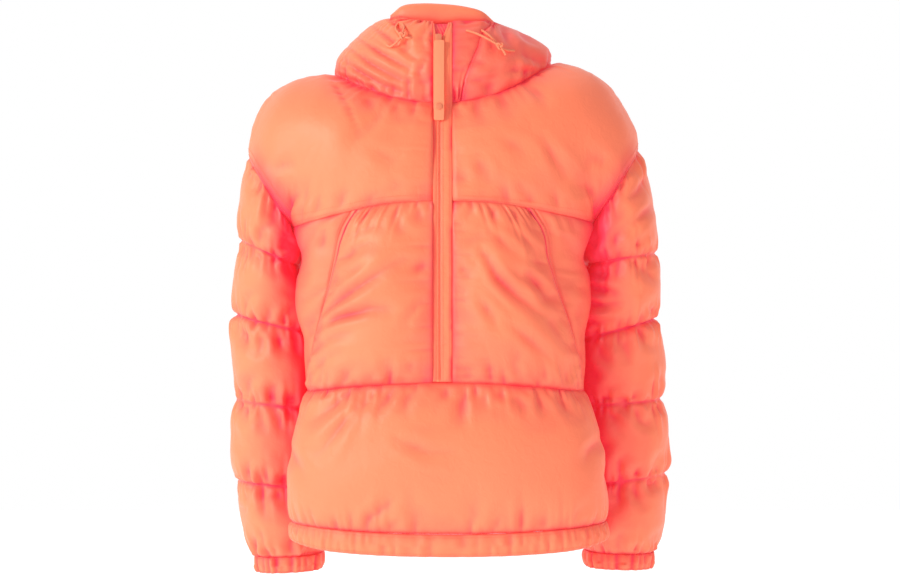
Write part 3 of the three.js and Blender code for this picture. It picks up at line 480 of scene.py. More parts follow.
def under_arm(angle):
    """How far a place lies below the arm, between the side of the chest and the shoulder blade."""
    from_front = smooth(BODY_CORNER[0] - 8, BODY_CORNER[0] + 6, angle)
    return from_front * smooth(BODY_CORNER[1] + 14, BODY_CORNER[1] - 2, angle)


def armpit_rise(angle, rise):
    return mix(SEAM_RISE, 0.1, under_arm(angle) * smooth(0.75, 1, rise))


def armpit_press(angle, rise):
    """The filling thins out towards the armhole below the arm."""
    return mix(1, smooth(0.95, 0.7, rise), under_arm(angle))


def side_panel_angle(u, v):
    return mix(pocket_angle(v) + WELT_ANGLE, SIDE_SEAM, u)


def side_panel_puff(u, v):
    full = mix(13, 27, smooth(0.3, 0.6, v))
    return full * pillow(v) * pillow(u**1.6) * armpit_press(side_panel_angle(u, v), v)


for side, side_name in SIDE_NAMES.items():
    add_panel(
        "front_mid_" + side_name,
        lambda u, v, side=side: upper_body(side, mix(placket_angle(side, v), pocket_angle(v), u), v),
        150, 240, lambda u, v: 22 * pillow(v**0.85) * pillow(mix(0.02, 0.97, u)),
        outward=side, folds=MID_FOLDS[side], seed=3 + side,
        shade=lambda u, v: 0.4 * np.exp(-u * 150 / 8) * pillow(mix(0.1, 0.9, v)))
    add_panel(
        "side_panel_" + side_name,
        lambda u, v, side=side: upper_body(side, side_panel_angle(u, v), v), 90, 215, side_panel_puff,
        outward=side, folds=POCKET_FOLDS[side], seed=8 + side,
        seam_rise=lambda u, v: armpit_rise(side_panel_angle(u, v), v),
        calm=lambda u, v: mix(0.9, 0.25, smooth(0.1, 0.7, u)) * armpit_press(side_panel_angle(u, v), v),
        shade=lambda u, v: 0.35 * smooth(0.55, 1, v) * smooth(0, 0.5, u))
    add_panel(
        "pocket_welt_" + side_name,
        lambda u, v, side=side: upper_body(side, pocket_angle(v) + WELT_ANGLE * u, v), 8, 240,
        lambda u, v: 2 * pillow(u), outward=side, step=3, padded=False,
        calm=lambda u, v: 0.3 + 0 * u, shade=lambda u, v: 0.9 * np.exp(-u * 8 / 1.5))

# Back of the upper body
# One panel from side seam to side seam, quilted across in two rows.
BACK_MID_FOLDS = [
    (6, 7, (-150, -300), (-118, -284), (-84, -276)),
    (6, 7, (160, -290), (126, -278), (92, -262)),
    (5, 6, (-60, -284), (-52, -316), (-30, -340)),
    (5, 6, (40, -284), (48, -252), (66, -226)),
    (5, 6, (-20, -404), (-28, -372), (-16, -344)),
    (5, 6, (84, -406), (78, -380), (92, -352)),
    (5, 6, (-104, -408), (-96, -376), (-108, -346)),
    (5, 6, (-120, -180), (-108, -208), (-112, -238)),
    (5, 6, (-40, -160), (-36, -190), (-48, -216)),
    (5, 6, (110, -178), (104, -206), (116, -232)),
    (4, 6, (18, -158), (20, -184), (8, -204)),
    (4, 6, (-70, -408), (-66, -384)),
    (4, 6, (36, -405), (40, -380)),
]


def back_turn(u):
    return mix(SIDE_SEAM, 360 - SIDE_SEAM, u)


def back_angle(u):
    return 180 - np.abs(180 - back_turn(u))


def back_mid_puff(u, v):
    rows = 20 * pillow(np.mod(v * 2, 1)) * pillow(u)
    return rows * mix(0.5, 1, pillow(u)) * armpit_press(back_angle(u), v)


add_panel(
    "back_mid", lambda u, v: both_sides(upper_body, back_turn(u), v), 500, 240, back_mid_puff,
    quilt_rows=2, back_folds=BACK_MID_FOLDS, seed=21,
    seam_rise=lambda u, v: armpit_rise(back_angle(u), v),
    calm=lambda u, v: mix(0.3, 1, smooth(0, 0.16, u) * smooth(1, 0.84, u)))

# Lower body
# One padded panel round the front and one round the back, between the middle seam and the hem band.
FRONT_LOWER_FOLDS = [
    (7, 8, (-127, -419), (-140, -437), (-162, -459), (-183, -473)),
    (6, 7, (-119, -449), (-136, -473), (-155, -503), (-175, -521)),
    (6, 7, (-106, -612), (-99, -598), (-87, -587), (-55, -564)),
    (5, 6, (-71, -419), (-77, -437), (-94, -456)),
    (5, 6, (-43, -420), (-49, -440), (-57, -456)),
    (5, 7, (-153, -421), (-158, -434)),
    (5, 6, (-91, -419), (-99, -437), (-116, -451)),
    (6, 7, (28, -420), (25, -448), (21, -476)),
    (5, 6, (60, -420), (57, -437), (60, -454)),
    (5, 6, (95, -424), (102, -440), (116, -456)),
    (5, 6, (126, -427), (132, -445), (144, -462)),
    (5, 6, (153, -426), (164, -448), (183, -468)),
    (5, 6, (7, -417), (4, -437)),
    (4, 6, (43, -419), (41, -434)),
    (4, 6, (77, -420), (80, -440)),
    (2, 6, (-186, -610), (-178, -588), (-158, -568)),
    (2, 6, (-150, -613), (-141, -596)),
    (2, 6, (-130, -616), (-127, -594), (-116, -580)),
    (2, 6, (-71, -619), (-66, -599)),
    (2, 6, (-32, -620), (-32, -596), (-21, -577)),
    (2, 6, (4, -620), (4, -602)),
    (2, 6, (38, -619), (43, -594), (38, -574)),
    (2, 6, (74, -617), (77, -596)),
    (2, 6, (108, -615), (108, -591), (119, -571)),
    (2, 6, (141, -612), (139, -594)),
    (2, 6, (172, -609), (181, -588), (197, -571)),
    (5, 7, (206, -490), (189, -507), (181, -532)),
    (5, 7, (-200, -501), (-183, -532), (-175, -554)),
    (4, 8, (-60, -490), (-18, -507), (27, -504)),
]
BACK_LOWER_FOLDS = [
    (6, 7, (-150, -416), (-142, -446), (-156, -474)),
    (6, 7, (-96, -414), (-88, -440), (-70, -462)),
    (5, 6, (-52, -412), (-48, -436), (-56, -456)),
    (5, 6, (0, -410), (6, -438), (-2, -462)),
    (6, 7, (58, -412), (50, -446), (62, -472)),
    (5, 6, (104, -414), (112, -440), (106, -462)),
    (5, 6, (148, -416), (140, -438)),
    (6, 7, (-120, -596), (-112, -568), (-126, -540)),
    (5, 6, (-74, -600), (-70, -574), (-58, -552)),
    (5, 6, (-20, -604), (-26, -578), (-14, -556)),
    (6, 7, (30, -604), (38, -572), (30, -544)),
    (5, 6, (88, -600), (80, -576), (92, -552)),
    (5, 6, (134, -596), (140, -570), (128, -548)),
    (4, 9, (-60, -500), (0, -516), (70, -498)),
]


def side_press(u):
    return mix(0.45, 1, pillow(u))


add_panel(
    "front_lower", lambda u, v: both_sides(lower_body, mix(-SIDE_SEAM, SIDE_SEAM, u), v), 560, 190,
    lambda u, v: 24 * pillow(v) * side_press(u) * np.minimum(1, pillow(u) * 2),
    folds=FRONT_LOWER_FOLDS, seed=31, calm=lambda u, v: mix(0.35, 1, smooth(0, 0.14, u) * smooth(1, 0.86, u)))
add_panel(
    "back_lower", lambda u, v: both_sides(lower_body, mix(SIDE_SEAM, 360 - SIDE_SEAM, u), v), 500, 190,
    lambda u, v: 20 * pillow(v) * side_press(u) * pillow(u),
    back_folds=BACK_LOWER_FOLDS, seed=34,
    calm=lambda u, v: mix(0.35, 1, smooth(0, 0.14, u) * smooth(1, 0.86, u)))

# Yoke over the shoulders
# A front and a back panel on each side, from the neck seam down to the armhole and the chest.
NECK_HALF, NECK_FRONT, NECK_BACK, NECK_MIDDLE = 148, -106, 84, -4
NECK_FRONT_Z, NECK_BACK_Z, NECK_SIDE_Z = -27, 22, {-1: 17, 1: 32}
NECK_SQUARE = 2.1
YOKE_PATH = {
    "turn": (0, 0.3, 0.55, 0.8, 1, 1.2, 1.45, 1.7, 2),
    "neck_x": (0, 0.25, 0.6, 0.92, 0.99, 0.92, 0.6, 0.3, 0),
    "neck_y": (-0.5, -0.6, -0.6, -0.3, 0, 0.3, 0.6, 0.7, 0.6),
    "neck_z": (-0.86, -0.7, -0.45, -0.16, -0.08, -0.2, -0.45, -0.6, -0.8),
    "edge_x": (0, 0.1, 0.3, 0.36, 0.22, 0.36, 0.3, 0.1, 0),
    "edge_y": (-0.12, -0.02, 0.36, 0.16, 0, -0.16, -0.4, 0, 0.1),
    "edge_z": (-0.99, -0.99, -0.88, -0.92, -0.97, -0.92, -0.86, -0.99, -0.99),
    "bow": (0.36, 0.36, 0.42, 0.44, 0.44, 0.44, 0.42, 0.38, 0.36),
}
YOKE_CORNER = (0.55, 1.45)
SHOULDER_BOW = {-1: 1.18, 1: 0.93}
YOKE_FOLDS = {
    -1: [
        (4.5, 2.4, (-157, 15), (-144, -7), (-130, -32), (-118, -56), (-113, -71)),
        (3.5, 6, (-175, -182), (-169, -160), (-172, -140)),
        (3.5, 6, (-137, -174), (-136, -151), (-125, -132)),
        (3.5, 6, (-99, -167), (-102, -146)),
        (3, 6, (-63, -162), (-63, -140), (-57, -120)),
        (3, 6, (-32, -161), (-35, -143)),
        (3.5, 7, (-220, -162), (-200, -148), (-175, -140)),
        (3.5, 7, (-234, -112), (-214, -104), (-192, -101)),
        (3, 7, (-200, -190), (-183, -165)),
        (3, 6, (-113, -8), (-99, -25), (-91, -48)),
        (3, 6, (-71, -15), (-63, -36), (-63, -53)),
        (3, 6, (-41, -22), (-43, -45)),
        (2.5, 8, (-99, -84), (-71, -98), (-46, -95)),
    ],
    1: [
        (5, 7, (134, -70), (150, -95), (167, -123), (183, -151)),
        (4, 6, (106, -134), (116, -146), (126, -153)),
        (4, 7, (49, -92), (57, -120), (67, -155)),
        (4, 7, (18, -109), (29, -126), (45, -144)),
        (3.5, 6, (87, -158), (84, -140), (74, -120)),
        (3.5, 6, (119, -162), (127, -143)),
        (3.5, 6, (153, -171), (153, -151), (144, -134)),
        (3.5, 7, (214, -148), (192, -134), (172, -132)),
        (3.5, 7, (228, -106), (211, -95), (189, -92)),
        (3, 6, (43, -14), (46, -34), (60, -50)),
        (3, 6, (80, -6), (88, -28)),
        (3, 6, (18, -21), (21, -45)),
        (3, 6, (122, 3), (136, -14), (144, -34)),
        (3, 8, (80, -70), (102, -84), (119, -106)),
    ],
}
BACK_YOKE_FOLDS = [
    (6, 7, (96, 10), (112, -20), (124, -52), (128, -84)),
    (5, 6, (40, 20), (52, -8), (60, -36)),
    (5, 6, (150, -150), (144, -122), (152, -96)),
    (5, 6, (106, -156), (100, -130), (110, -104)),
    (5, 6, (60, -156), (64, -130), (54, -108)),
    (5, 6, (20, -152), (24, -124)),
    (5, 7, (210, -130), (184, -118), (168, -96)),
    (4, 8, (40, -80), (76, -90), (104, -78)),
]


def neck_point(side, angle):
    """A place on the neck seam: angle 0 is the centre front and 180 the centre back."""
    sine = np.maximum(np.sin(np.radians(angle)), 0) ** (2 / NECK_SQUARE)
    cosine = np.cos(np.radians(angle))
    reach = np.where(cosine > 0, NECK_FRONT, NECK_BACK) - NECK_MIDDLE
    end = np.where(cosine > 0, NECK_FRONT_Z, NECK_BACK_Z)
    y = NECK_MIDDLE + reach * np.abs(cosine) ** (2 / NECK_SQUARE)
    return np.stack([side * NECK_HALF * sine, y, mix(NECK_SIDE_Z[side], end, cosine**2)], -1)


def yoke_edge(side, turn):
    """Lower edge of the yoke, along the chest seam and then the armhole."""
    start = placket_angle(side, 1.0)
    front = mix(start, BODY_CORNER[0], np.clip(turn / YOKE_CORNER[0], 0, 1))
    back = mix(180, BODY_CORNER[1], np.clip((2 - turn) / (2 - YOKE_CORNER[1]), 0, 1))
    angle = np.where(turn < 1, front, back)
    seam = body_point(side, angle, top_height(side, angle)) + armhole_flare(side, angle)
    over_front = mix(CORNER_ANGLE[0], 0, (turn - YOKE_CORNER[0]) / (1 - YOKE_CORNER[0]))
    over_back = mix(360, CORNER_ANGLE[1], (turn - 1) / (YOKE_CORNER[1] - 1))
    arm = sleeve_point(side, 0, np.where(turn < 1, over_front, over_back))
    along_seam = (turn < YOKE_CORNER[0]) | (turn > YOKE_CORNER[1])
    return np.where(along_seam[..., None], seam, arm)


def yoke_point(side, turn, rise):
    """The yoke: turn is 0 at the centre front, 1 on the shoulder and 2 at the centre back."""
    at = read_table(YOKE_PATH, "turn", turn)
    start = np.degrees(np.arcsin((PLACKET_WIDTH / 2 / NECK_HALF) ** (NECK_SQUARE / 2)))
    neck, edge = neck_point(side, mix(start, 180, turn / 2)), yoke_edge(side, turn)
    bow = (at["bow"] * SHOULDER_BOW[side] * np.linalg.norm(neck - edge, axis=-1))[..., None]
    leave = np.stack([side * at["neck_x"], at["neck_y"], at["neck_z"]], -1)
    arrive = np.stack([side * at["edge_x"], at["edge_y"], at["edge_z"]], -1)
    leave /= np.linalg.norm(leave, axis=-1, keepdims=True)
    arrive /= np.linalg.norm(arrive, axis=-1, keepdims=True)
    t = rise[..., None]
    return ((1 - t) ** 3 * edge + 3 * t * (1 - t) ** 2 * (edge - arrive * bow)
            + 3 * t**2 * (1 - t) * (neck + leave * bow) + t**3 * neck)


def yoke_puff(u, v):
    return 15 * pillow(v) * mix(0.2, 1, pillow(u)) * smooth(1, 0.93, v)


def yoke_shade(u, v):
    """The cloth rolls under beside the armhole and stays in shade there."""
    return 0.6 * np.exp(-((v * 160 / 17) ** 2)) * smooth(0.5, 0.6, u) * smooth(0.95, 0.75, u)


for side, side_name in SIDE_NAMES.items():
    add_panel(
        "front_yoke_" + side_name, lambda u, v, side=side: yoke_point(side, u, v), 200, 160, yoke_puff,
        outward=side, folds=YOKE_FOLDS[side], seed=41 + side, soften=12, gather_depth=0.8,
        shade=yoke_shade)
    mirrored = [(depth, width, *[(side * x, z) for x, z in line]) for depth, width, *line in BACK_YOKE_FOLDS]
    add_panel(
        "back_yoke_" + side_name, lambda u, v, side=side: yoke_point(side, 1 + u, v), 200, 160, yoke_puff,
        outward=side, back_folds=mirrored, seed=46 + side, soften=12, gather_depth=0.8)

# Sleeves
# Each is one padded tube with four seams round it, gathered on the inner side of the elbow.
SLEEVE_PUFF = {-1: 6, 1: 9}
ARM_REACH, HEM_REACH, SLEEVE_CLEAR = 9, 23, 3.5
SLEEVE_FOLDS = {
    -1: [
        (7, 5.5, (-238, -73), (-228, -102), (-221, -127)),
        (7, 5.5, (-241, -90), (-235, -106), (-225, -118)),
        (8.5, 5.5, (-225, -196), (-218, -213), (-210, -230)),
        (7, 5, (-252, -98), (-253, -126), (-248, -148)),
        (6, 5, (-267, -109), (-262, -132), (-256, -148)),
        (6, 5, (-237, -148), (-239, -171), (-231, -190)),
        (6, 5, (-270, -207), (-267, -185), (-259, -165)),
        (6, 5, (-251, -218), (-251, -196), (-242, -176)),
        (6, 5, (-228, -223), (-225, -202)),
        (6, 5, (-276, -216), (-270, -235), (-273, -255)),
        (6, 5, (-259, -223), (-253, -241), (-248, -260)),
        (6, 5, (-242, -225), (-239, -244), (-228, -263)),
        (6, 5, (-223, -232), (-217, -252), (-206, -269)),
        (6, 5, (-270, -311), (-267, -291), (-259, -274)),
        (6, 5, (-245, -333), (-242, -311), (-234, -294)),
        (6, 5, (-223, -336), (-223, -316), (-214, -297)),
        (7, 5, (-276, -330), (-270, -350), (-262, -367)),
        (6, 5, (-253, -339), (-251, -358), (-253, -375)),
        (6, 5, (-231, -340), (-228, -358), (-217, -372)),
        (6, 5, (-211, -347), (-209, -367), (-200, -384)),
        (6, 5, (-270, -428), (-267, -409), (-256, -392)),
        (6, 5, (-239, -440), (-239, -420), (-231, -403)),
        (6, 5, (-214, -442), (-214, -423)),
        (7, 5, (-276, -440), (-270, -459), (-262, -473)),
        (6, 5, (-253, -445), (-251, -465), (-242, -479)),
        (6, 5, (-231, -448), (-228, -468), (-217, -484)),
        (6, 5, (-270, -543), (-267, -524), (-259, -507)),
        (6, 5, (-245, -549), (-245, -529), (-237, -512)),
        (6, 5, (-225, -550), (-223, -532)),
        (6, 5, (-273, -557), (-267, -577), (-270, -594)),
        (6, 5, (-253, -560), (-251, -577), (-242, -594)),
        (6, 5, (-234, -560), (-231, -577)),
        (6, 5, (-259, -647), (-256, -627), (-248, -610)),
        (6, 5, (-237, -652), (-234, -633)),
        (6, 5, (-214, -652), (-214, -630), (-206, -613)),
        (6, 5, (-192, -644), (-195, -624)),
    ],
    1: [
        (7, 5.5, (228, -18), (230, -42), (231, -74)),
        (8.5, 5.5, (241, -56), (237, -78), (228, -101), (218, -122)),
        (7, 5, (258, -129), (238, -144), (220, -165), (206, -179)),
        (6, 5, (265, -98), (251, -115), (237, -126)),
        (6, 5, (279, -120), (270, -140), (253, -157)),
        (6, 5, (287, -162), (270, -176), (253, -199)),
        (7, 5, (206, -235), (217, -210), (228, -196)),
        (6, 5, (237, -220), (242, -202), (256, -188)),
        (6, 5, (267, -220), (270, -199)),
        (8.5, 5.5, (196, -266), (220, -277), (248, -283)),
        (8.5, 5.5, (199, -294), (225, -300), (255, -291)),
        (7, 5, (196, -322), (220, -325), (245, -314)),
        (3.5, 5, (203, -347), (223, -336), (253, -325)),
        (7, 5, (209, -249), (228, -258), (251, -252)),
        (6, 5, (259, -227), (270, -246), (273, -266)),
        (6, 5, (284, -232), (281, -252), (290, -272)),
        (6, 5, (290, -316), (281, -300), (284, -283)),
        (3.5, 5, (220, -353), (225, -372), (239, -386)),
        (6, 5, (245, -342), (253, -364), (256, -384)),
        (6, 5, (270, -330), (276, -353), (287, -367)),
        (3.5, 5, (200, -372), (209, -392), (225, -403)),
        (3, 6, (220, -437), (238, -431), (262, -430)),
        (5, 6, (226, -441), (233, -418), (250, -403)),
        (6, 5, (265, -437), (267, -414)),
        (6, 5, (290, -431), (290, -409), (301, -392)),
        (5, 6, (234, -447), (243, -468), (248, -487)),
        (6, 5, (265, -440), (273, -462), (287, -476)),
        (6, 5, (293, -437), (298, -456)),
        (6, 5, (242, -540), (245, -518), (256, -501)),
        (6, 5, (270, -543), (270, -521)),
        (6, 5, (295, -538), (293, -518), (298, -501)),
        (6, 5, (239, -552), (245, -571), (239, -591)),
        (6, 5, (265, -552), (270, -571), (279, -585)),
        (6, 5, (293, -543), (293, -563)),
        (6, 5, (211, -636), (217, -616), (228, -599)),
        (6, 5, (242, -644), (242, -624), (253, -608)),
        (6, 5, (267, -647), (270, -627)),
        (6, 5, (290, -644), (290, -622), (298, -608)),
    ],
}


def body_reach(side, y, z):
    """How far out the body reaches at a place beside it."""
    at = read_table(BODY, "z", z)
    in_front = y < at["wide"]
    power = np.where(in_front, FRONT_SQUARE, at["square"])
    reach = np.where(in_front, at["front"], at["back"])
    part = np.clip((y - at["wide"]) / (reach - at["wide"]), 0, 1)
    return side * at["middle"] + at["half"] * (1 - part**power) ** (1 / power)


def facing_body(u):
    """1 on the side of a sleeve that faces the body, 0 on the other sides."""
    return smooth(66, 34, np.abs(np.mod(u, 1) * 360 - 180))


def sleeve_form(side, u, v):
    """A sleeve from the shoulder (0) down to the cuff (1), kept clear of the body."""
    start = mix(0.0012, 0.006, facing_body(u))
    ring = mix(start, 0.9993, v) * 5
    point = sleeve_point(side, ring, u * 360)
    margin = smooth(0, 0.25, ring) * (mix(ARM_REACH, HEM_REACH, smooth(2.4, 3.8, ring)) + SLEEVE_CLEAR)
    least = body_reach(side, point[..., 1], point[..., 2]) + margin
    reach = np.abs(point[..., 0])
    pushed = (reach + least + np.sqrt((reach - least) ** 2 + 36)) / 2
    point[..., 0] = np.where(margin > 0, side * pushed, point[..., 0])
    return point


def sleeve_puff(side, u, v):
    """The filling hangs low between two seams and is fullest at the front and back."""
    front = np.abs(np.sin(2 * np.pi * u)) ** 1.5
    baffle = pillow(np.mod(v * 5, 1) ** 1.2)
    inner = mix(1, 1.5 - smooth(0.05, 0.4, v) * 0.6, facing_body(u))
    return mix(SLEEVE_PUFF[side], 15, front) * baffle * inner


def sleeve_shade(u, v):
    """The armhole and the side that faces the body stay in shade."""
    inner = smooth(104, 58, np.abs(np.mod(u, 1) * 360 - 180))
    return inner * (0.14 + 0.55 * smooth(0.4, 0.05, v))


for side, side_name in SIDE_NAMES.items():
    behind = [(depth * 0.9, width, *[(-x + 8, z + 7) for x, z in line])
              for depth, width, *line in SLEEVE_FOLDS[-side]]
    add_panel(
        "sleeve_" + side_name, lambda u, v, side=side: sleeve_form(side, u, v), 420, 590,
        lambda u, v, side=side: sleeve_puff(side, u, v),
        outward=side, ring=True, quilt_rows=5, folds=SLEEVE_FOLDS[side], back_folds=behind, seed=61 + side,
        seam_rise=lambda u, v: mix(SEAM_RISE, 0.1, facing_body(u) * smooth(0.1, 0, v)),
        calm=lambda u, v: mix(1, 0.2, facing_body(u)), gather_depth=2.3, sway=2.2, shade=sleeve_shade)

# Hood
# Worn down as a funnel round the neck: a gathered collar beside the zip, a narrow left front,
# a left side, a back, and a rolled band along the rear of the small rim.
HOOD = {
    "rise": (0, 0.3, 0.55, 0.78, 1),
    "right": (148, 141, 117, 88, 60),
    "left": (148, 145, 122, 93, 58),
    "front": (-106, -110, -106, -98, -86),
    "back": (84, 98, 98, 74, -50),
    "front_z": (-27, 12, 42, 66, 84),
    "right_z": (17, 40, 64, 86, 92),
    "left_z": (32, 48, 64, 81, 87),
    "back_z": (22, 54, 84, 99, 100),
}
HOOD_SQUARE = 2.1
HOOD_LIFT = 0.6
HOOD_SIDE = 100
COLLAR_SEAM = {"rise": (0, 0.3, 0.55, 0.78, 1), "angle": (8, 12, 21, 36, 80)}
CROWN_BAND = {
    "x": (-72, -56, -30, 0, 32, 54, 70),
    "y": (-57, -66, -69, -69.5, -69, -66, -55),
    "z": (94, 97.5, 97.5, 97, 95, 92, 86),
    "tall": (3.5, 11, 14, 13.5, 12, 9, 3),
    "deep": (4, 6.5, 8.5, 8.5, 8.5, 6.5, 4),
}
COLLAR_FOLDS = [
    (5.5, 3.2, (-137, 42), (-113, 25), (-80, 6), (-43, -7)),
    (5.5, 3.2, (-127, 56), (-99, 36), (-63, 17), (-32, 3)),
    (5.5, 3.2, (-113, 67), (-83, 48), (-49, 31), (-27, 20)),
    (5, 3.2, (-144, 22), (-116, 8), (-83, -3)),
    (4.5, 3.2, (-94, 84), (-71, 67), (-46, 48), (-27, 36)),
    (4, 3, (-74, 98), (-57, 81), (-41, 64)),
    (4, 3, (-137, 11), (-108, -3), (-71, -11)),
    (6, 4, (-53, 67), (-46, 53)),
    (4, 4, (-21, 87), (-29, 70), (-24, 50)),
    (4, 4, (-24, 42), (-32, 25), (-27, 0)),
]
HOOD_LEFT_FOLDS = [
    (5, 5, (122, 25), (97, 28), (74, 22), (57, 11)),
    (5, 5, (133, 39), (108, 48), (88, 45)),
    (4, 4, (38, 42), (57, 34), (80, 34)),
    (4, 4, (27, 17), (49, 14), (69, 3)),
    (4, 4, (80, 84), (88, 64), (102, 50)),
    (3.5, 4, (60, 70), (69, 53), (63, 39)),
    (4, 5, (102, 87), (113, 67), (130, 53)),
]
HOOD_BACK_FOLDS = [
    (5, 7, (-60, 16), (-50, 40), (-58, 66)),
    (5, 7, (10, 18), (2, 44), (14, 70)),
    (5, 7, (70, 18), (62, 40), (70, 60)),
    (4, 8, (-90, 60), (-50, 74), (-8, 70)),
]


def hood_point(side, angle, rise):
    """A place on the hood: angle 0 is the centre front, and rise goes from the neck seam to the rim."""
    angle, rise = np.broadcast_arrays(np.asarray(angle, float), np.asarray(rise, float))
    at = read_table(HOOD, "rise", rise)
    name = SIDE_NAMES[side]
    sine = np.maximum(np.sin(np.radians(angle)), 0) ** (2 / HOOD_SQUARE)
    cosine = np.cos(np.radians(angle))
    middle = mix(NECK_MIDDLE, (at["front"] + at["back"]) / 2, smooth(0, 1, rise))
    reach = np.where(cosine > 0, at["front"], at["back"]) - middle
    end = np.where(cosine > 0, at["front_z"], at["back_z"])
    y = middle + reach * np.abs(cosine) ** (2 / HOOD_SQUARE)
    return np.stack([side * at[name] * sine, y, mix(at[name + "_z"], end, cosine**2) + HOOD_LIFT], -1)


def collar_edge(side, rise):
    half = read_table(HOOD, "rise", rise)[SIDE_NAMES[side]]
    return np.degrees(np.arcsin((PLACKET_WIDTH / 2 / half) ** (HOOD_SQUARE / 2)))


def collar_seam(rise):
    return read_table(COLLAR_SEAM, "rise", rise)["angle"]


def hood_left_shade(u, v):
    beside_seam = 0.4 * np.exp(-u * 130 / 14) * smooth(0.7, 0, v)
    return 0.55 * smooth(0, 0.6, v) * mix(0.6, 1, u) + beside_seam


add_panel(
    "collar_right", lambda u, v: hood_point(-1, mix(collar_edge(-1, v), HOOD_SIDE, u), v), 200, 120,
    lambda u, v: 7 * pillow(v) * pillow(u), outward=-1, folds=COLLAR_FOLDS, seed=71, step=3,
    shade=lambda u, v: 0.55 * np.exp(-u * 200 / 9) * pillow(mix(0.1, 0.9, v)))
add_panel(
    "collar_left", lambda u, v: hood_point(1, mix(collar_edge(1, v), collar_seam(v), u), v), 34, 120,
    lambda u, v: 3 * pillow(v) * pillow(u), seed=73, step=3,
    shade=lambda u, v: 0.5 * np.exp(-u * 34 / 9) * pillow(mix(0.1, 0.9, v)) + 0.3)
add_panel(
    "hood_left", lambda u, v: hood_point(1, mix(collar_seam(v), HOOD_SIDE, u), v), 130, 120,
    lambda u, v: 7 * pillow(v) * pillow(u), folds=HOOD_LEFT_FOLDS, seed=75, step=4, shade=hood_left_shade)
add_panel(
    "hood_back", lambda u, v: both_sides(hood_point, mix(HOOD_SIDE, 360 - HOOD_SIDE, u), v), 300, 140,
    lambda u, v: 11.2 * pillow(v) * pillow(u), back_folds=HOOD_BACK_FOLDS, seed=77)


def crown_form(u, v):
    """The rolled band, round its section and from its right end to its left one."""
    x = mix(CROWN_BAND["x"][0], CROWN_BAND["x"][-1], v)
    at = read_table(CROWN_BAND, "x", x)
    turn = 2 * np.pi * u
    return np.stack([x, at["y"] + at["deep"] * np.cos(turn), at["z"] + at["tall"] * np.sin(turn)], -1)


add_panel("crown_band", crown_form, 76, 132, lambda u, v: 0 * u, ring=True, seed=79, step=4,
          seam_rise=lambda u, v: 0 * u, calm=lambda u, v: 0.4 * pillow(v))

# Hem band and cuffs
# Elastic tunnels sewn below the last seams: they draw the cloth into small uneven gathers.
HEM_LENGTH, HEM_WIDTH = 1130, 30
CUFF_LENGTH, CUFF_WIDTH = 270, 23


def band_gathers(along, total, seed, fineness=1, depth=0.22):
    """Uneven height of a gathered band, the same where the band meets itself."""
    chance = np.random.default_rng(seed)
    wave = np.zeros(along.shape)
    for count in (total / 17, total / 23, total / 12):
        wave += np.sin(2 * np.pi * round(count * fineness) * along / total + chance.uniform(0, 6))
    return 1 - depth + depth * wave / 1.8


def hem_form(u, v):
    """The hem band hangs from the hem seam, and is a little narrower at the back."""
    turn = np.mod(u, 1) * 360
    angle = np.minimum(turn, 360 - turn)
    top = hem_height(angle) - 0.4
    drop = mix(HEM_WIDTH, 24, smooth(40, 90, angle))
    return both_sides(body_point, turn, mix(top - drop, top, v))


def cuff_form(side, u, v):
    """A cuff hangs from the last ring of its sleeve and draws in towards the hand."""
    point = sleeve_point(side, 5.0 + 0 * u, u * 360)
    middle = (sleeve_point(side, 5.0, 0.0) + sleeve_point(side, 5.0, 180.0)) / 2
    inward = middle - point
    inward[..., 2] = 0
    inward /= np.linalg.norm(inward, axis=-1, keepdims=True)
    point = point + inward * (3 * v)[..., None]
    point[..., 2] -= 0.5 + CUFF_WIDTH * v
    return point


def hem_puff(u, v):
    return 7 * pillow(mix(0.1, 0.9, v)) * band_gathers(u * HEM_LENGTH, HEM_LENGTH, 81)


def cuff_puff(u, v):
    return 6 * pillow(mix(0.12, 0.88, v)) * band_gathers(u * CUFF_LENGTH, CUFF_LENGTH, 85, 1.4, 0.42)


def cuff_shade(u, v):
    return 0.3 - 0.3 * band_gathers(u * CUFF_LENGTH, CUFF_LENGTH, 85, 1.4, 0.6)


add_panel(
    "hem_band", hem_form, HEM_LENGTH, HEM_WIDTH, hem_puff, ring=True, seed=83, step=4.5, slot="trim",
    fill=0.3, calm=lambda u, v: 0.5 + 0 * u)
for side, side_name in SIDE_NAMES.items():
    add_panel(
        "cuff_" + side_name, lambda u, v, side=side: cuff_form(side, u, v), CUFF_LENGTH, CUFF_WIDTH,
        cuff_puff, outward=side, ring=True, seed=87 + side, step=2.4, slot="trim", fill=0.3,
        calm=lambda u, v: 0.5 + 0 * u, shade=cuff_shade)

# Zip tapes, placket and guard
# A narrow tape on the right edge of the zip and a stitched placket on its left. Above the slider
# they spread, and a thin ribbed guard of the same cloth shows behind them.
CENTRE_FRONT = {
    "z": (-402, -300, -200, -161, -110, -60, -27, 12, 42, 66, 82),
    "y": (-140, -144, -143, -140, -135, -122, -109, -111, -107, -99, -88),
}
ZIP_BOTTOM, ZIP_TOP, ZIP_X, ZIP_WIDTH = -402.5, 60, -6, 5
ZIP_EDGE = 82
TAPE_SPREAD, PLACKET_SPREAD = 3.3, 11
GUARD_BOTTOM, GUARD_TOP, GUARD_HALF, GUARD_BEHIND = 46, 81, 12, 3.4
RIB_PITCH = 4.2
GUARD_RIBS = (-13, -9.5, -6, -2.5, 1, 4.5)


def front_depth(z):
    return read_table(CENTRE_FRONT, "z", z)["y"]


def tape_form(u, v):
    z = mix(ZIP_BOTTOM, ZIP_EDGE, v)
    inner_edge = ZIP_X - ZIP_WIDTH / 2 - TAPE_SPREAD * smooth(56, 84, z)
    return np.stack([mix(-PLACKET_WIDTH / 2, inner_edge, u), front_depth(z), z], -1)


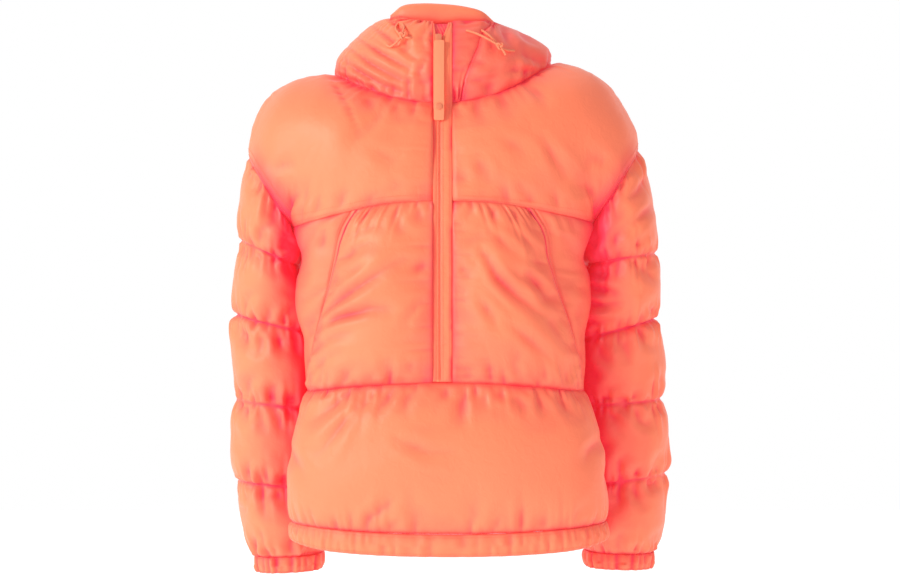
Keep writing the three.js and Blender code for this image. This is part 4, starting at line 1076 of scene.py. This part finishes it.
def placket_form(u, v):
    z = mix(ZIP_BOTTOM, ZIP_EDGE, v)
    inner_edge = ZIP_X + ZIP_WIDTH / 2 + PLACKET_SPREAD * smooth(48, 86, z)
    return np.stack([mix(inner_edge, PLACKET_WIDTH / 2, u), front_depth(z), z], -1)


def guard_form(u, v):
    z = mix(GUARD_BOTTOM, GUARD_TOP, v)
    return np.stack([mix(-GUARD_HALF, GUARD_HALF, u), front_depth(z) + GUARD_BEHIND, z], -1)


def guard_shade(u, v):
    """Painted shade behind the tapes, in slanted stripes that stand for the shade of the ribs."""
    return 0.65 + 0.3 * np.sin(2 * np.pi * (24 * u + 17 * v) / RIB_PITCH)


add_panel("zip_tape_right", tape_form, 4.5, 484, lambda u, v: 0 * u,
          step=4, padded=False, slot="trim", calm=lambda u, v: 0.15 + 0 * u)
add_panel("zip_placket", placket_form, 16.5, 484, lambda u, v: 1.2 * pillow(u),
          step=4, padded=False, calm=lambda u, v: 0.35 + 0 * u)
add_panel("zip_guard", guard_form, 24, 35, lambda u, v: 0 * u, step=1.5, padded=False,
          gather_depth=0.3, sway=0, shade=guard_shade,
          folds=[(2, 1, (x, 84), (x + 9, 62)) for x in GUARD_RIBS])

# Filling
# The panels are filled together: pressure swells the spare cloth while the seams hold their
# edges, and no point may travel further than the cap.
PRESSURE = 4
SWELL_CAP = 7
RAYS = 12
RAY_REACH = 160
GOLDEN_TURN = 2.39996
FRAMES = 20


def point_numbers(rows, columns, first, ring):
    """Numbers of a grid's points, counted on from the first, and closed where it is a ring."""
    index = np.arange(rows * columns).reshape(rows, columns) + first
    return np.concatenate([index, index[:, :1]], 1) if ring else index


def grid_faces(index):
    """Four-sided faces of a grid of point numbers."""
    return np.stack([index[:-1, :-1], index[:-1, 1:], index[1:, 1:], index[1:, :-1]], -1).reshape(-1, 4)


def fill_panels(parts):
    """Swells every panel with Blender's cloth and gives back how far each point moved."""
    corners, faces, total = [], [], 0
    for part in parts:
        rows, columns = part["start"].shape[:2]
        quads = grid_faces(point_numbers(rows, columns, total, part["ring"]))
        faces.append(quads if part["outward"] > 0 else quads[:, ::-1])
        corners.append((part["start"] + part["normal"] * 0.5 * part["relief"][..., None]).reshape(-1, 3))
        total += rows * columns
    points = np.concatenate(corners) * MM
    mesh = bpy.data.meshes.new("filling")
    mesh.from_pydata(points.tolist(), [], np.concatenate(faces).tolist())
    cloth_object = bpy.data.objects.new("filling", mesh)
    bpy.context.scene.collection.objects.link(cloth_object)
    held = np.flatnonzero(np.concatenate([part["held"].reshape(-1) for part in parts]))
    cloth_object.vertex_groups.new(name="seams").add(held.tolist(), 1.0, "REPLACE")
    cloth = cloth_object.modifiers.new("cloth", "CLOTH")
    cloth.settings.quality = 4
    cloth.settings.vertex_group_mass = "seams"
    cloth.settings.use_pressure = True
    cloth.settings.uniform_pressure_force = PRESSURE
    cloth.settings.shrink_min = -0.03
    cloth.settings.bending_stiffness = 3
    cloth.settings.effector_weights.gravity = 0
    cloth.point_cache.frame_start = 1
    cloth.point_cache.frame_end = FRAMES
    for number in range(1, FRAMES + 1):
        bpy.context.scene.frame_set(number)
    depsgraph = bpy.context.evaluated_depsgraph_get()
    swollen = cloth_object.evaluated_get(depsgraph).to_mesh()
    result = np.zeros(total * 3)
    swollen.vertices.foreach_get("co", result)
    cloth_object.evaluated_get(depsgraph).to_mesh_clear()
    bpy.data.objects.remove(cloth_object)
    bpy.context.scene.frame_set(1)
    moved = (result.reshape(-1, 3) - points) / MM
    size = np.linalg.norm(moved, axis=1, keepdims=True)
    return moved / np.sqrt(1 + (size / SWELL_CAP) ** 2)


def between(grid, axis, ring):
    """A grid with a smooth point added between every two along one axis."""
    grid = np.moveaxis(grid, axis, 0)
    if ring:
        padded = np.concatenate([grid[-1:], grid, grid[:2]])
    else:
        padded = np.concatenate([2 * grid[:1] - grid[1:2], grid, 2 * grid[-1:] - grid[-2:-1]])
    middle = (9 * (padded[1:-2] + padded[2:-1]) - padded[:-3] - padded[3:]) / 16
    count = len(grid) * 2 if ring else len(grid) * 2 - 1
    result = np.zeros((count, *grid.shape[1:]))
    result[0::2] = grid
    result[1::2] = middle
    return np.moveaxis(result, 0, axis)


def finer(grid, ring):
    """A grid with twice the steps both ways."""
    return between(between(grid, 0, False), 1, ring)


def wall_faces(rows, columns, inner_rows, inner_columns, ring, outward):
    """Faces of a closed wall whose outer grid has two steps for each step of the inner one."""
    outer = point_numbers(rows, columns, 0, ring)
    inner = point_numbers(inner_rows, inner_columns, rows * columns, ring)
    faces = grid_faces(outer).tolist() + grid_faces(inner)[:, ::-1].tolist()
    borders = [(outer[0], inner[0], 1), (outer[-1], inner[-1], -1)]
    if not ring:
        borders += [(outer[:, 0], inner[:, 0], -1), (outer[:, -1], inner[:, -1], 1)]
    for out, low, way in borders:
        for k in range(len(low) - 1):
            wide_face = [low[k], low[k + 1], out[2 * k + 2], out[2 * k + 1]]
            slim_face = [low[k], out[2 * k + 1], out[2 * k]]
            faces += [[int(i) for i in face[::way]] for face in (wide_face, slim_face)]
    return faces if outward > 0 else [face[::-1] for face in faces]


def mesh_object(name, points, faces, painted_shade=None):
    """A smooth mesh object, with how much painted shade each point gets."""
    mesh = bpy.data.meshes.new(name)
    mesh.from_pydata((points * MM).tolist(), [], faces)
    mesh.polygons.foreach_set("use_smooth", [True] * len(mesh.polygons))
    if painted_shade is not None:
        mesh.attributes.new("painted_shade", "FLOAT", "POINT").data.foreach_set("value", painted_shade.astype(np.float32))
    mesh.validate()
    result = bpy.data.objects.new(name, mesh)
    bpy.context.scene.collection.objects.link(result)
    return result


def fold_shade(fine, normal, away, ring):
    """Painted shade from 0 to 0.7: more where a point lies deep below the cloth around it and near a seam."""
    near = np.einsum("ijk,ijk->ij", blurred(fine, ring, 6) - fine, normal) / 1.1
    wide = np.einsum("ijk,ijk->ij", blurred(fine, ring, 40) - fine, normal) / 5
    seam = 0.22 * np.exp(-((away / 3) ** 2))
    return np.clip(np.maximum(near, 0) * 0.17 + np.maximum(wide, 0) * 0.18 + seam, 0, 0.7)


def shelter(parts):
    """How much of the light from around each point of every panel's cloth is shut off, from 0 to 1."""
    corners, faces, total = [], [], 0
    for part in parts:
        rows, columns = part["grid"].shape[:2]
        faces += grid_faces(point_numbers(rows, columns, total, part["ring"])).tolist()
        corners.append(part["grid"].reshape(-1, 3))
        total += rows * columns
    cloth = BVHTree.FromPolygons(np.concatenate(corners).tolist(), faces)
    turn = np.arange(RAYS) * GOLDEN_TURN
    up = 1 - (np.arange(RAYS) + 0.5) / RAYS * 0.9
    flat = np.sqrt(1 - up**2)
    rays = np.column_stack([flat * np.cos(turn), flat * np.sin(turn), up])
    for part in parts:
        normal = grid_normals(part["grid"], part["outward"], part["ring"]).reshape(-1, 3)
        side = np.cross(normal, (0.3, 0.2, 0.93))
        side /= np.linalg.norm(side, axis=1, keepdims=True)
        other = np.cross(normal, side)
        flat_ways = rays[:, 0, None, None] * side + rays[:, 1, None, None] * other
        ways = flat_ways + rays[:, 2, None, None] * normal
        places = part["grid"].reshape(-1, 3) + normal * 1.5
        shut = np.zeros(len(places))
        for way in ways:
            shut += [cloth.ray_cast(place, ray, RAY_REACH)[0] is not None for place, ray in zip(places, way)]
        part["shut"] = (shut / RAYS).reshape(part["grid"].shape[:2])


def build_panel(part, look):
    """Sews up one filled panel: outer cloth, plain inner cloth and closed edges."""
    ring = part["ring"]
    fine = finer(part["grid"], ring)
    normal = grid_normals(fine, part["outward"], ring)
    away, shut, shade = (finer(part[key][..., None], ring) for key in ("away", "shut", "shade"))
    # Painted shade: darker in folds, beside seams, where light from around is shut off, and where the panel's
    # shade map asks.
    painted_shade = fold_shade(fine, normal, np.maximum(away[..., 0], 0), ring)
    painted_shade = painted_shade + (1.1 * blurred(shut, ring, 4) + shade)[..., 0]
    inner = part["base"] - part["normal"] * LINING_DROP
    faces = wall_faces(*fine.shape[:2], *inner.shape[:2], ring, part["outward"])
    points = np.concatenate([fine.reshape(-1, 3), inner.reshape(-1, 3)])
    # The plain inner cloth is painted in shade throughout.
    painted_shade_amounts = np.concatenate([painted_shade.reshape(-1), np.full(inner.shape[0] * inner.shape[1], 0.6)])
    piece = mesh_object(part["name"] + "_padding", points, faces, painted_shade_amounts)
    piece.data.materials.append(look)
    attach(piece, "jacket")
    if part["name"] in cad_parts:
        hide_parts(part["name"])
    part["fine"] = fine
    part["fine_normal"] = normal
    return piece


def new_group(name, inputs, outputs):
    """An empty shader node group with named inputs and outputs."""
    group = bpy.data.node_groups.new(name, "ShaderNodeTree")
    for label, kind, value in inputs:
        group.interface.new_socket(label, in_out="INPUT", socket_type=kind).default_value = value
    for label, kind in outputs:
        group.interface.new_socket(label, in_out="OUTPUT", socket_type=kind)
    return group, group.nodes.new("NodeGroupInput"), group.nodes.new("NodeGroupOutput")


def crinkle_group():
    """Fine crinkle and plain weave of thin nylon, as a normal."""
    group, given, result = new_group("nylon crinkle", [
        ("Crinkle", "NodeSocketFloat", 0.35), ("Weave", "NodeSocketFloat", 0.1)],
        [("Normal", "NodeSocketVector")])
    nodes, link = group.nodes, group.links.new
    place = nodes.new("ShaderNodeTexCoord")
    crinkle = nodes.new("ShaderNodeTexNoise")
    crinkle.inputs["Scale"].default_value = 85
    crinkle.inputs["Detail"].default_value = 3
    crinkle.inputs["Distortion"].default_value = 0.6
    link(place.outputs["Object"], crinkle.inputs["Vector"])
    bump = nodes.new("ShaderNodeBump")
    bump.inputs["Distance"].default_value = 0.0022
    link(crinkle.outputs["Fac"], bump.inputs["Height"])
    link(given.outputs["Crinkle"], bump.inputs["Strength"])
    weave = nodes.new("ShaderNodeTexNoise")
    weave.inputs["Scale"].default_value = 1400
    weave.inputs["Detail"].default_value = 1
    link(place.outputs["Object"], weave.inputs["Vector"])
    fine = nodes.new("ShaderNodeBump")
    fine.inputs["Distance"].default_value = 0.0003
    link(weave.outputs["Fac"], fine.inputs["Height"])
    link(given.outputs["Weave"], fine.inputs["Strength"])
    link(bump.outputs["Normal"], fine.inputs["Normal"])
    link(fine.outputs["Normal"], result.inputs["Normal"])
    return group


def painted_shade_group():
    """Painted shade: the cloth colour turns from the lit one to a deeper, redder shaded one as the painted
    shade grows.
    """
    group, given, result = new_group("painted shade in the folds", [
        ("Lit", "NodeSocketColor", (1, 0.4, 0.2, 1)), ("Shaded", "NodeSocketColor", (0.8, 0.05, 0.07, 1))],
        [("Color", "NodeSocketColor")])
    nodes, link = group.nodes, group.links.new
    depth = nodes.new("ShaderNodeAttribute")
    depth.attribute_name = "painted_shade"
    blend = nodes.new("ShaderNodeMix")
    blend.data_type = "RGBA"
    link(depth.outputs["Fac"], blend.inputs["Factor"])
    link(given.outputs["Lit"], blend.inputs["A"])
    link(given.outputs["Shaded"], blend.inputs["B"])
    link(blend.outputs["Result"], result.inputs["Color"])
    return group


# Strength of a faint painted red glow in the nylon, which stands in for light bounced between the folds.
PAINTED_RED_GLOW = 0.13
nylon_crinkle = crinkle_group()
painted_shade_tree = painted_shade_group()


def nylon(name, lit, deep, roughness=0.5, crinkle=0.35):
    """Thin soft-sheen nylon in one colourway, whose deep colour is painted shade, with a faint painted red
    glow.
    """
    material = plain_material(name, lit, roughness)
    nodes, link = material.node_tree.nodes, material.node_tree.links.new
    shader = nodes["Principled BSDF"]
    shader.inputs["Specular IOR Level"].default_value = 0.35
    shader.inputs["Sheen Weight"].default_value = 0.15
    shader.inputs["Sheen Roughness"].default_value = 0.4
    # A faint painted red glow, standing in for light bounced between the folds.
    shader.inputs["Emission Color"].default_value = (1, 0.06, 0.07, 1)
    shader.inputs["Emission Strength"].default_value = PAINTED_RED_GLOW
    colour = nodes.new("ShaderNodeGroup")
    colour.node_tree = painted_shade_tree
    colour.inputs["Lit"].default_value = (*lit, 1)
    colour.inputs["Shaded"].default_value = (*deep, 1)
    link(colour.outputs["Color"], shader.inputs["Base Color"])
    surface = nodes.new("ShaderNodeGroup")
    surface.node_tree = nylon_crinkle
    surface.inputs["Crinkle"].default_value = crinkle
    link(surface.outputs["Normal"], shader.inputs["Normal"])
    return material


# The second colour of each nylon is painted shade, for folds, seams and sheltered places.
coral_shell = nylon("coral nylon shell", (0.97, 0.24, 0.113), (0.86, 0.035, 0.085))
coral_trim = nylon("coral nylon trim", (0.95, 0.235, 0.11), (0.84, 0.035, 0.08), 0.55, 0.2)

counts = [part["start"].shape[0] * part["start"].shape[1] for part in panels]
swell = fill_panels(panels)
for part, move in zip(panels, np.split(swell, np.cumsum(counts)[:-1])):
    moved = blurred(move.reshape(part["start"].shape), part["ring"], 2) * part["quiet"][..., None]
    part["grid"] = part["start"] + part["normal"] * part["relief"][..., None] + moved
shelter(panels)
for part in panels:
    build_panel(part, coral_shell if part["slot"] == "shell" else coral_trim)

# Zip chain, slider and pull
# A closed coil zip whose turns show as a fine ridge, an enamelled slider, and a long webbing
# pull folded from tape that hangs from it with a press stud near its end.


def run_nodes(source, tree, values):
    """Applies a Geometry Nodes tree with named inputs to an object and gives back a plain mesh."""
    modifier = source.modifiers.new("nodes", "NODES")
    modifier.node_group = tree
    for item in tree.interface.items_tree:
        if item.item_type == "SOCKET" and item.in_out == "INPUT" and item.name in values:
            modifier[item.identifier] = values[item.name]
    depsgraph = bpy.context.evaluated_depsgraph_get()
    mesh = bpy.data.meshes.new_from_object(source.evaluated_get(depsgraph))
    source.modifiers.remove(modifier)
    bpy.data.objects.remove(source)
    return mesh


def repeat_along_tree(name, material):
    """Geometry Nodes that repeat a small rounded bar along the edges of a mesh."""
    tree = bpy.data.node_groups.new(name, "GeometryNodeTree")
    tree.interface.new_socket("Geometry", in_out="INPUT", socket_type="NodeSocketGeometry")
    for label in ("Pitch", "Bar length", "Bar width"):
        tree.interface.new_socket(label, in_out="INPUT", socket_type="NodeSocketFloat")
    tree.interface.new_socket("Across", in_out="INPUT", socket_type="NodeSocketFloat")
    tree.interface.new_socket("Geometry", in_out="OUTPUT", socket_type="NodeSocketGeometry")
    nodes, link = tree.nodes, tree.links.new
    given, result = nodes.new("NodeGroupInput"), nodes.new("NodeGroupOutput")
    curve = nodes.new("GeometryNodeMeshToCurve")
    link(given.outputs["Geometry"], curve.inputs["Mesh"])
    evenly = nodes.new("GeometryNodeResampleCurve")
    evenly.mode = "LENGTH"
    link(curve.outputs["Curve"], evenly.inputs["Curve"])
    link(given.outputs["Pitch"], evenly.inputs["Length"])
    points = nodes.new("GeometryNodeCurveToPoints")
    points.mode = "EVALUATED"
    link(evenly.outputs["Curve"], points.inputs["Curve"])
    bar = nodes.new("GeometryNodeMeshUVSphere")
    bar.inputs["Segments"].default_value = 6
    bar.inputs["Rings"].default_value = 4
    bar.inputs["Radius"].default_value = 0.5
    turn = nodes.new("FunctionNodeAlignRotationToVector")
    turn.axis = "Z"
    link(points.outputs["Tangent"], turn.inputs["Vector"])
    across = nodes.new("FunctionNodeRotateRotation")
    across.rotation_space = "LOCAL"
    quarter = nodes.new("ShaderNodeCombineXYZ")
    link(given.outputs["Across"], quarter.inputs["Y"])
    link(turn.outputs["Rotation"], across.inputs["Rotation"])
    link(quarter.outputs["Vector"], across.inputs["Rotate By"])
    size = nodes.new("ShaderNodeCombineXYZ")
    link(given.outputs["Bar width"], size.inputs["X"])
    link(given.outputs["Bar width"], size.inputs["Y"])
    link(given.outputs["Bar length"], size.inputs["Z"])
    place = nodes.new("GeometryNodeInstanceOnPoints")
    link(points.outputs["Points"], place.inputs["Points"])
    link(bar.outputs["Mesh"], place.inputs["Instance"])
    link(across.outputs["Rotation"], place.inputs["Rotation"])
    link(size.outputs["Vector"], place.inputs["Scale"])
    realize = nodes.new("GeometryNodeRealizeInstances")
    link(place.outputs["Instances"], realize.inputs["Geometry"])
    finish = nodes.new("GeometryNodeSetMaterial")
    finish.inputs["Material"].default_value = material
    link(realize.outputs["Geometry"], finish.inputs["Geometry"])
    link(finish.outputs["Geometry"], result.inputs["Geometry"])
    return tree


def line_object(name, lines):
    """A mesh of open polylines, for a Geometry Nodes tree to follow."""
    points, edges = [], []
    for line in lines:
        edges += [(len(points) + i, len(points) + i + 1) for i in range(len(line) - 1)]
        points += (np.array(line) * MM).tolist()
    mesh = bpy.data.meshes.new(name)
    mesh.from_pydata(points, edges, [])
    result = bpy.data.objects.new(name, mesh)
    bpy.context.scene.collection.objects.link(result)
    return result


def repeat_along(name, lines, tree, pitch, length, width, across=0.0):
    """A finished object of bars repeated along lines."""
    mesh = run_nodes(line_object(name + " line", lines), tree, {
        "Pitch": pitch * MM, "Bar length": length * MM, "Bar width": width * MM, "Across": across})
    mesh.name = name
    mesh.polygons.foreach_set("use_smooth", [True] * len(mesh.polygons))
    result = bpy.data.objects.new(name, mesh)
    bpy.context.scene.collection.objects.link(result)
    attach(result, "jacket")
    return result


def dressed_copy(node, name, bevel, look, body):
    """The mesh of a fixed part, merged and with softened edges."""
    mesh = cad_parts[node].data.copy()
    mesh.name = name
    piece = bpy.data.objects.new(name, mesh)
    bpy.context.scene.collection.objects.link(piece)
    weld = piece.modifiers.new("weld", "WELD")
    weld.merge_threshold = 0.00002
    edges = piece.modifiers.new("edges", "BEVEL")
    edges.width = bevel * MM
    edges.segments = 3
    edges.angle_limit = math.radians(40)
    depsgraph = bpy.context.evaluated_depsgraph_get()
    piece.data = bpy.data.meshes.new_from_object(piece.evaluated_get(depsgraph))
    piece.modifiers.clear()
    piece.data.materials.clear()
    piece.data.materials.append(look)
    piece.data.polygons.foreach_set("use_smooth", [True] * len(piece.data.polygons))
    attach(piece, body)
    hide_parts(node)
    return piece


def webbing_material():
    """Tightly woven tape, with fine ribs across it."""
    material = plain_material("coral webbing", (0.97, 0.28, 0.14), 0.6)
    nodes, link = material.node_tree.nodes, material.node_tree.links.new
    place = nodes.new("ShaderNodeTexCoord")
    rib = nodes.new("ShaderNodeTexWave")
    rib.bands_direction = "Z"
    rib.inputs["Scale"].default_value = 260
    rib.inputs["Distortion"].default_value = 0.4
    link(place.outputs["Object"], rib.inputs["Vector"])
    bump = nodes.new("ShaderNodeBump")
    bump.inputs["Strength"].default_value = 0.4
    bump.inputs["Distance"].default_value = 0.0004
    link(rib.outputs["Fac"], bump.inputs["Height"])
    link(bump.outputs["Normal"], nodes["Principled BSDF"].inputs["Normal"])
    return material


webbing = webbing_material()
enamel = plain_material("enamelled metal", (0.86, 0.24, 0.13), 0.38, 0.15)
coil_plastic = plain_material("coil of the zip", (0.90, 0.20, 0.12), 0.45)
thread = plain_material("sewing thread", (0.9, 0.2, 0.11), 0.6)
chain_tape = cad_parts["zip_chain"]
chain_tape.data.materials.clear()
chain_tape.data.materials.append(coral_trim)

COIL_POINTS = 120
COIL_PITCH, COIL_WIDTH, COIL_WIRE = 1.7, 4.2, 1.3
COIL_AHEAD = 2.4
heights = np.linspace(ZIP_BOTTOM + 4, ZIP_TOP - 12, COIL_POINTS)
coil_line = np.column_stack([np.full(COIL_POINTS, ZIP_X), front_depth(heights) - COIL_AHEAD, heights])
coil_tree = repeat_along_tree("coil turns", coil_plastic)
coil = repeat_along("zip_coil", [coil_line], coil_tree, COIL_PITCH, COIL_WIDTH, COIL_WIRE, math.pi / 2)

slider = dressed_copy("zip_slider", "zip_slider_body", 0.9, enamel, "jacket")
pull = dressed_copy("zip_pull_tab", "zip_pull_webbing", 0.8, webbing, "zip_pull")
snap = dressed_copy("pull_snap", "pull_snap_stud", 0.5, enamel, "zip_pull")

# Pocket openings
# A thin dark tube along the front edge of each slanted welt is painted shade in the slit where the pocket
# opens.
SLIT_WIDTH = 1.1
by_name = {part["name"]: part for part in panels}
# A dark colour painted as the shade inside the pocket opening.
pocket_slit_shade = plain_material("painted shade in the pocket slit", (0.5, 0.03, 0.05), 0.8)
for side_name in SIDE_NAMES.values():
    welt = by_name["pocket_welt_" + side_name]
    edge = (welt["fine"] + 0.3 * welt["fine_normal"])[3:-3, 0]
    slit = tube_curve("pocket_slit_" + side_name, edge, SLIT_WIDTH)
    slit.data.materials.append(pocket_slit_shade)
    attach(slit, "jacket")

# Stitching
# Lockstitch rows that show: two beside the yoke seams, on the placket, the hem band and the cuffs,
# and one beside the other seams.
STITCH_PITCH, STITCH_LENGTH, THREAD_WIDTH = 3.2, 2.5, 0.55


def seam_row(part, row=None, column=None, lift=0.25):
    """A line on a panel's outer cloth, along one of its rows or columns of points."""
    points = part["fine"] + part["fine_normal"] * lift
    line = points[:, column] if row is None else points[row]
    return np.concatenate([line, line[:1]]) if part["ring"] else line[1:-1]


stitch_tree = repeat_along_tree("lockstitch", thread)
stitch_rows = {
    "yoke_stitches": [seam_row(by_name[end + side_name], row=row)
                      for end in ("front_yoke_", "back_yoke_")
                      for side_name in ("right", "left") for row in (1, 3)],
    "middle_stitches": [seam_row(by_name["front_lower"], row=-2), seam_row(by_name["back_lower"], row=-2),
                        seam_row(by_name["back_mid"], row=1)],
    "pocket_stitches": [seam_row(by_name["side_panel_" + side_name], column=1)
                        for side_name in ("right", "left")],
    "placket_stitches": [seam_row(by_name["zip_placket"], column=column) for column in (2, -3)],
    "hem_stitches": [seam_row(by_name["hem_band"], row=row) for row in (2, -3)],
    "cuff_stitches": [seam_row(by_name["cuff_" + side_name], row=row)
                      for side_name in ("right", "left") for row in (2, -3)],
    "collar_stitches": [seam_row(by_name["hood_left"], column=1), seam_row(by_name["collar_right"], row=-2),
                        seam_row(by_name["hood_left"], row=-2)],
}
for name, lines in stitch_rows.items():
    stitches = repeat_along(name, lines, stitch_tree, STITCH_PITCH, STITCH_LENGTH, THREAD_WIDTH)

# Floor
# A plain pale floor below the jacket, which hangs above it as on an unseen stand.
FLOOR_HEIGHT = -860
FLOOR_HALF = 2600
FLOOR_ENDS = (-FLOOR_HALF, FLOOR_HALF)
floor_corners = np.array([(x, y, FLOOR_HEIGHT) for y in FLOOR_ENDS for x in FLOOR_ENDS])
floor = mesh_object("floor", floor_corners, [[0, 1, 3, 2]])
pale = plain_material("pale floor", (0.97, 0.97, 0.97), 0.9)
floor_shader = pale.node_tree.nodes["Principled BSDF"]
floor_shader.inputs["Emission Color"].default_value = (1, 1, 1, 1)
floor_shader.inputs["Emission Strength"].default_value = 0.4
floor.data.materials.append(pale)

# Light
# A large soft light from the upper left in front, a weaker one from the right and one above, in a
# room whose wall behind the jacket is bright and whose front is dimmer. Seen directly, it is white.
WALL_LIGHT, ROOM_LIGHT = 1.0, 0.42


def soft_light(name, place, target, size, power, colour=(1, 1, 1)):
    data = bpy.data.lights.new(name, "AREA")
    data.shape = "DISK"
    data.size = size
    data.energy = power
    data.color = colour
    light = bpy.data.objects.new(name, data)
    light.location = place
    away = np.array(place) - np.array(target)
    light.rotation_euler = (math.acos(away[2] / np.linalg.norm(away)), 0, math.atan2(away[0], -away[1]))
    bpy.context.scene.collection.objects.link(light)


soft_light("key", (-3.0, -2.4, 0.7), (0, 0, -0.3), 1.0, 108, (1, 0.99, 0.9))
soft_light("fill", (2.6, -2.4, 0.2), (0, 0, -0.3), 2.0, 10, (1, 0.66, 0.66))
soft_light("top", (0.2, 0.2, 2.4), (0, 0, 0), 1.6, 6)
world = bpy.data.worlds.new("studio")
world.use_nodes = True
world_nodes, world_link = world.node_tree.nodes, world.node_tree.links.new
direction = world_nodes.new("ShaderNodeTexCoord")
sides = world_nodes.new("ShaderNodeSeparateXYZ")
world_link(direction.outputs["Generated"], sides.inputs["Vector"])
wall_light = world_nodes.new("ShaderNodeMapRange")
wall_range = {"From Min": -0.2, "From Max": 0.6, "To Min": ROOM_LIGHT, "To Max": WALL_LIGHT}
for socket_name, value in wall_range.items():
    wall_light.inputs[socket_name].default_value = value
world_link(sides.outputs["Y"], wall_light.inputs["Value"])
world_nodes["Background"].inputs["Color"].default_value = (1, 1, 1, 1)
backdrop = world_nodes.new("ShaderNodeMix")
backdrop.inputs["B"].default_value = WALL_LIGHT
seen = world_nodes.new("ShaderNodeLightPath")
world_link(seen.outputs["Is Camera Ray"], backdrop.inputs["Factor"])
world_link(wall_light.outputs["Result"], backdrop.inputs["A"])
world_link(backdrop.outputs["Result"], world_nodes["Background"].inputs["Strength"])
bpy.context.scene.world = world
bpy.context.scene.view_settings.view_transform = "Standard"
